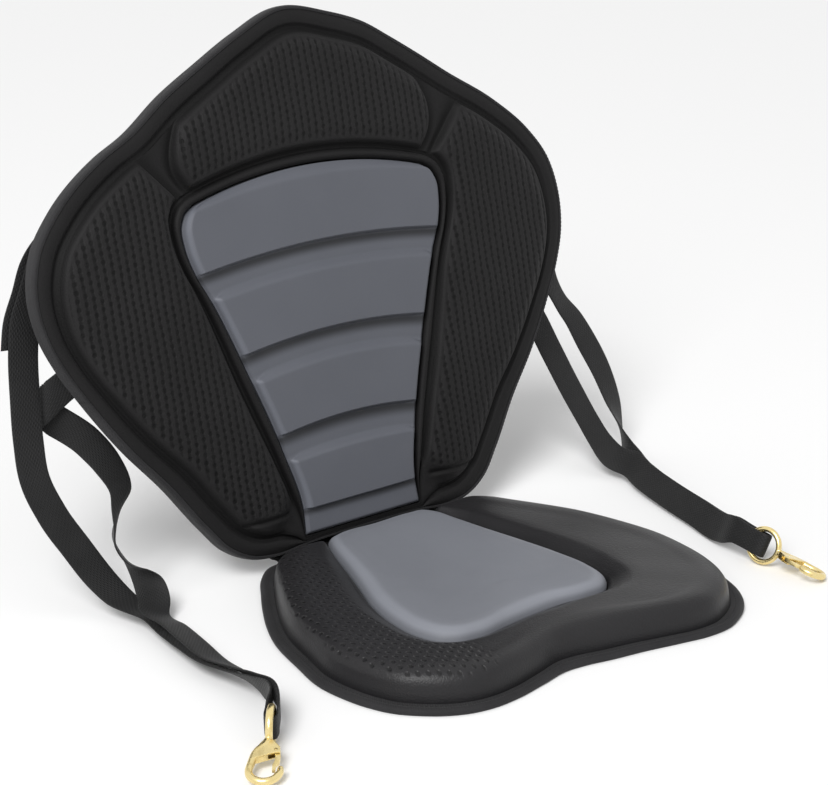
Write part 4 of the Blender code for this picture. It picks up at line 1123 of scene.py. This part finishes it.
# one band: upper strand, down to the eye, through it, and back up as the lower strand
def strapRoute(side, samples):
    upper, upperWide = strand(leftUpper if side < 0 else rightUpper)
    lower, lowerWide = strand(leftLower if side < 0 else rightLower)
    top, topWide = rearStrand(side, upperRear)
    end, endWide = rearStrand(side, leftLowerRear if side < 0 else rightLowerRear)
    if side < 0:
        fold, foldWide = diagonalFold(side)
        end, endWide = fold + end, foldWide + endWide
    else:
        endWide = [-wide for wide in endWide]
    middle, wides, apart = doubled(side)
    shift = unit(np.cross(np.gradient(middle, axis=0), wides)) * apart[:, None] / 2 * -side
    rear, front = middle - shift, middle + shift
    eye, along = hookFrame(side)[:2]
    step = (rear[-1] - front[-1]) / 2
    bend = [eye + step * math.cos(t) + along * (np.linalg.norm(step) * math.sin(t) - 0.0015)
            for t in np.linspace(0, math.pi, 5)]
    centres = top + upper + list(rear) + bend + list(front[::-1]) + lower + end
    rulings = (topWide + upperWide + list(wides) + [wides[-1]] * 5 + list(wides[::-1]) + lowerWide
               + endWide)
    pinch = [1.0] * (len(middle) - 3) + list(web["pinch"])
    widths = ([1.0] * (len(top) + len(upper)) + pinch + pinch[-1:] * 5 + pinch[::-1]
              + [1.0] * (len(lower) + len(end)))
    line = smoothLine(np.column_stack((centres, rulings, np.array(widths) * web["width"])), samples)
    return line[:, :3], line[:, 3:6], line[:, 6]


# one side's strap, its anchor webbing, and the anchor's stitches at both ends, front and rear
def buildStraps(side, label):
    centres, wides, widths = strapRoute(side, 10)
    buildBand(label + "Strap", centres, wides, widths, web["thick"], webbing,
              label + "_side_strap")
    centres, wides = rearStrand(side, anchorRear)
    line = smoothLine(np.column_stack((centres, wides)), 12)
    buildBand(label + "Anchor", line[:, :3], line[:, 3:], web["width"], web["thick"], webbing,
              label + "_anchor_webbing")
    for number, (low, high) in enumerate(((0.004, 0.030), (0.108, 0.128))):
        for face, which in ((1.0, "Front"), (-1.0, "Rear")):
            ends = zigzag(line[:, :3], line[:, 3:], low, high, face)
            buildStitches("%sZigzag%s%d" % (label, which, number), *ends, "webbing")


# rings of a round wire along a line
def wireRings(line, radius, sides):
    radius = np.broadcast_to(radius, (len(line),))
    tangent = unit(np.gradient(line, axis=0))
    up = unit(np.array((0, 0, 1.0)) - tangent * tangent[:, 2:])
    beside = np.cross(up, tangent)
    turn = fullTurn(sides, 0.0)
    spoke = np.cos(turn)[None, :, None] * beside[:, None] + np.sin(turn)[None, :, None] * up[:, None]
    return line[:, None] + radius[:, None, None] * spoke


# middle line of the bend, from the neck down the spine, round the bottom and up to the nose
def loopLine():
    half = hook["loop"] / 2 - hook["wire"]
    low = hook["length"] - hook["eye"] - hook["eyeWire"] - hook["wire"] - half
    turn = np.linspace(math.pi, 0.12 * math.pi, 9)[:, None]
    arc = np.hstack((half * np.cos(turn), low + half * np.sin(turn)))
    neck = np.array(((0.0, hook["eye"] + 0.001), (-0.0012, hook["eye"] + 0.006),
                     (-0.0062, hook["eye"] + 0.0125), (-0.0097, low - 0.006)))
    nose = np.array(((half + 0.0004, low + 0.0005), (half + 0.0003, low - 0.0028)))
    line = smoothLine(np.vstack((neck, arc, nose)), 8, path=2)
    return np.column_stack((line, np.zeros(len(line))))


# an outline at both faces of a flat block
def prism(outline, half):
    outline = np.asarray(outline, float)
    return np.array([np.column_stack((outline, np.full(len(outline), z))) for z in (-half, half)])


# circles round the gate's hinge, one for each (radius, height)
def pinRings(profile, sides=32):
    turn, (x, y) = fullTurn(sides, 0.0), hook["hinge"]
    return np.array([np.column_stack((x + r * np.cos(turn), y + r * np.sin(turn), np.full(sides, z)))
                     for r, z in profile])


# a closed solid from rings of points, kept only for a cut
def scratchObject(name, rings):
    return makeObject(name, *cappedGrid(rings))


# a round tool a running clearance wider than the pin
def boreTool(half):
    radius = hook["pin"] + gap
    return scratchObject("boreTool", pinRings(((radius, -half), (radius, half))))


# a shape less its tools, which go afterwards
def cutOff(points, faces, tools):
    work = makeObject("blank", points, faces)
    for tool in tools:
        mod = work.modifiers.new("cut", "BOOLEAN")
        mod.operation, mod.solver, mod.object = "DIFFERENCE", "EXACT", tool
    points, faces = takeShape(work)
    for tool in tools:
        bpy.data.objects.remove(tool)
    return points, faces


# cast body: bend, eye and shoulder melted into one skin, then slotted for the gate and bored for its pin
def hookShape():
    line = loopLine()
    share = np.linspace(0, 1, len(line))
    radius = hook["wire"] * (1.0 + 0.25 * ease(0.25 - share, 0, 0.2) - 0.18 * ease(share, 0.85, 1.0))
    body = wireRings(line, radius, 24)
    tip, last = np.linspace(0.97, 0.25, 5), line[-1] - line[-2]          # rings of the rounded nose
    ends = line[-1] + last / np.linalg.norm(last) * radius[-1] * np.sqrt(1 - tip**2)[:, None]
    body = np.concatenate((body, ends[:, None] + (body[-1] - line[-1]) * tip[:, None, None]))
    around = np.linspace(0, 2 * math.pi, 96, endpoint=False)[:, None, None]
    wire = np.linspace(0, 2 * math.pi, 24, endpoint=False)[None, :, None]
    spoke = np.concatenate((0 * around, np.sin(around), np.cos(around)), axis=-1)
    ring = spoke * (hook["eye"] + hook["eyeWire"] * np.cos(wire)) \
        + 1.15 * hook["eyeWire"] * np.sin(wire) * np.array((1.0, 0, 0))
    neck, hinge = hook["eye"] + 0.0030, hook["hinge"][1]
    shoulder = prism(((-0.0030, neck), (0.0030, neck), (0.0086, hinge - 0.0030), (0.0094, hinge + 0.0026),
                      (0.0050, hinge + 0.0035), (-0.0098, hinge + 0.0105), (-0.0088, hinge + 0.001)),
                     hook["shoulder"] / 2)
    parts = [cappedGrid(body), (ring.reshape(-1, 3), [gridFaces(96, 24, wrapRows=True)]),
             cappedGrid(shoulder)]
    points, faces, count = [], [], 0
    for p, fs in parts:
        if signedVolume(p, fs) < 0:
            fs = [f[:, ::-1] for f in fs]
        faces += [f + count for f in fs]
        points.append(p)
        count += len(p)
    work = makeObject("hookBlank", np.vstack(points), faces)
    melt = work.modifiers.new("melt", "REMESH")
    melt.mode, melt.voxel_size = "VOXEL", hook["voxel"]
    soften = work.modifiers.new("soften", "SMOOTH")
    soften.factor, soften.iterations = 0.5, 7
    points, faces = takeShape(work)
    half = hook["gateWidth"] / 2 - 0.0004
    slot = prism(((0.0012, hinge - 0.0048), (0.0125, hinge - 0.0048), (0.0125, hinge + 0.0060),
                  (0.0012, hinge + 0.0060)), half)
    return cutOff(points, faces, [scratchObject("slotTool", slot), boreTool(0.0060)])


# gate: a flat lever, its long sides slightly bowed, bevelled all round and bored for the pin
def gateShape():
    half = hook["gateWidth"] / 2 - 0.0004 - gap
    x, hinge = hook["hinge"]
    end = hinge + hook["gateLength"]
    reach = hook["loop"] / 2 - 2 * hook["wire"]
    side = np.array(((x + 0.0022, hinge - 0.0014), (x + 0.0028, hinge + 0.0020), (x + 0.0037, hinge + 0.0070),
                     (x + 0.0033, hinge + 0.0110), (reach - 0.0002, hinge + 0.0140), (reach - 0.0004, end)))
    inner = side[::-1] - np.array(((0.0020, 0.0), (0.0024, 0.0), (0.0032, 0.0), (0.0036, 0.0), (0.0030, 0.0),
                                   (0.0040, -0.0008)))
    work = scratchObject("gateBlank", prism(np.vstack((side, inner)), half))
    rounded = work.modifiers.new("round", "BEVEL")
    rounded.width, rounded.segments, rounded.limit_method = 0.00045, 4, "ANGLE"
    return cutOff(*takeShape(work), [boreTool(0.008)])


# pin with domed ends, level with the shoulder's two faces
def pinShape():
    radius, half = hook["pin"], hook["shoulder"] / 2
    profile = ((0.55, -half), (0.85, -half + 0.00012), (1.0, -half + 0.0004), (1.0, half - 0.0004),
               (0.85, half - 0.00012), (0.55, half))
    return cappedGrid(pinRings([(k * radius, z) for k, z in profile]))


hookParts = (("HookBody", "_hook_body", hookShape()), ("Gate", "_gate", gateShape()),
             ("GatePin", "_gate_pin", pinShape()))


# both hooks share their three shapes; only the gate turns
def buildHook(side, label):
    for name, node, (points, faces) in hookParts:
        piece = makeObject(label + name, fromHook(points, side), faces, brass, sharp=40)
        settle(piece, [label + node], body=label + "_gate" if name == "Gate" else "seat")


buildHinge()
buildTapeStitches()
for side, label in ((-1, "left"), (1, "right")):
    buildStraps(side, label)
    buildHook(side, label)
print("straps and hooks made")


# Floor, light and camera

studio = dict(floorSize=16.0, world=0.53, sun=1.44, sunAngle=24, sunHeading=-148, sunHeight=50, lamp=23,
              lampSize=1.1, lampAt=(-1.75, -1.35, 1.75), lampAim=(0, -0.1, 0.1), lens=92.565,
              eye=(-0.9645, -1.3094, 0.7183), ahead=(0.5775, 0.7435, -0.3374), right=(0.7897, -0.6134, 0.0))
floorLook = dict(colour=(0.99, 0.99, 0.99), rough=0.9, specular=0.0, sheen=0.0)


# one large square just under the seat
def buildFloor():
    half = studio["floorSize"] / 2
    corners = [(x * half, y * half, -0.0002) for x, y in ((-1, -1), (1, -1), (1, 1), (-1, 1))]
    mesh = bpy.data.meshes.new("studioFloor")
    mesh.from_pydata(corners, [], [(0, 1, 2, 3)])
    mesh.materials.append(startMaterial("studioFloor", floorLook)[0])
    floor = bpy.data.objects.new("studioFloor", mesh)
    scene.collection.objects.link(floor)


# a lamp at one point that shines towards another
def addLamp(name, kind, at, aim, **settings):
    light = bpy.data.lights.new(name, kind)
    for key, value in settings.items():
        setattr(light, key, value)
    lamp = bpy.data.objects.new(name, light)
    lamp.location = at
    lamp.rotation_euler = (Vector(at) - Vector(aim)).to_track_quat("Z", "Y").to_euler()
    scene.collection.objects.link(lamp)


# white to the camera, to mirrors and through glass, and a soft grey dome to everything else
def buildLight():
    world = bpy.data.worlds.new("studio")
    world.use_nodes = True
    tree = world.node_tree
    sky = tree.nodes["Background"]
    sky.inputs["Color"].default_value = (1, 1, 1, 1)
    rays = addNode(tree, "LightPath", {}).outputs
    seen = calc(tree, "MAXIMUM", calc(tree, "MAXIMUM", rays["Is Camera Ray"], rays["Is Glossy Ray"]),
                rays["Is Transmission Ray"])
    tree.links.new(spread(tree, seen, 0.0, 1.0, studio["world"], 1.0), sky.inputs["Strength"])
    scene.world = world
    sun = headingVector(studio["sunHeading"], studio["sunHeight"])
    addLamp("softSun", "SUN", sun, (0, 0, 0), energy=studio["sun"], angle=math.radians(studio["sunAngle"]))
    addLamp("leftPanel", "AREA", studio["lampAt"], studio["lampAim"], energy=studio["lamp"],
            size=studio["lampSize"])


# the photo's own viewpoint, as three square directions and a place
def buildCamera():
    ahead, right = Vector(studio["ahead"]).normalized(), Vector(studio["right"]).normalized()
    lens = bpy.data.cameras.new("camera")
    lens.sensor_width, lens.lens, lens.clip_end = 36.0, studio["lens"], 60
    eye = bpy.data.objects.new("camera", lens)
    scene.collection.objects.link(eye)
    turn = Matrix((right, right.cross(ahead), -ahead)).transposed().to_4x4()
    eye.matrix_world = Matrix.Translation(studio["eye"]) @ turn
    scene.camera = eye


buildFloor()
buildLight()
buildCamera()
scene.view_settings.view_transform = "Standard"
print("studio made")
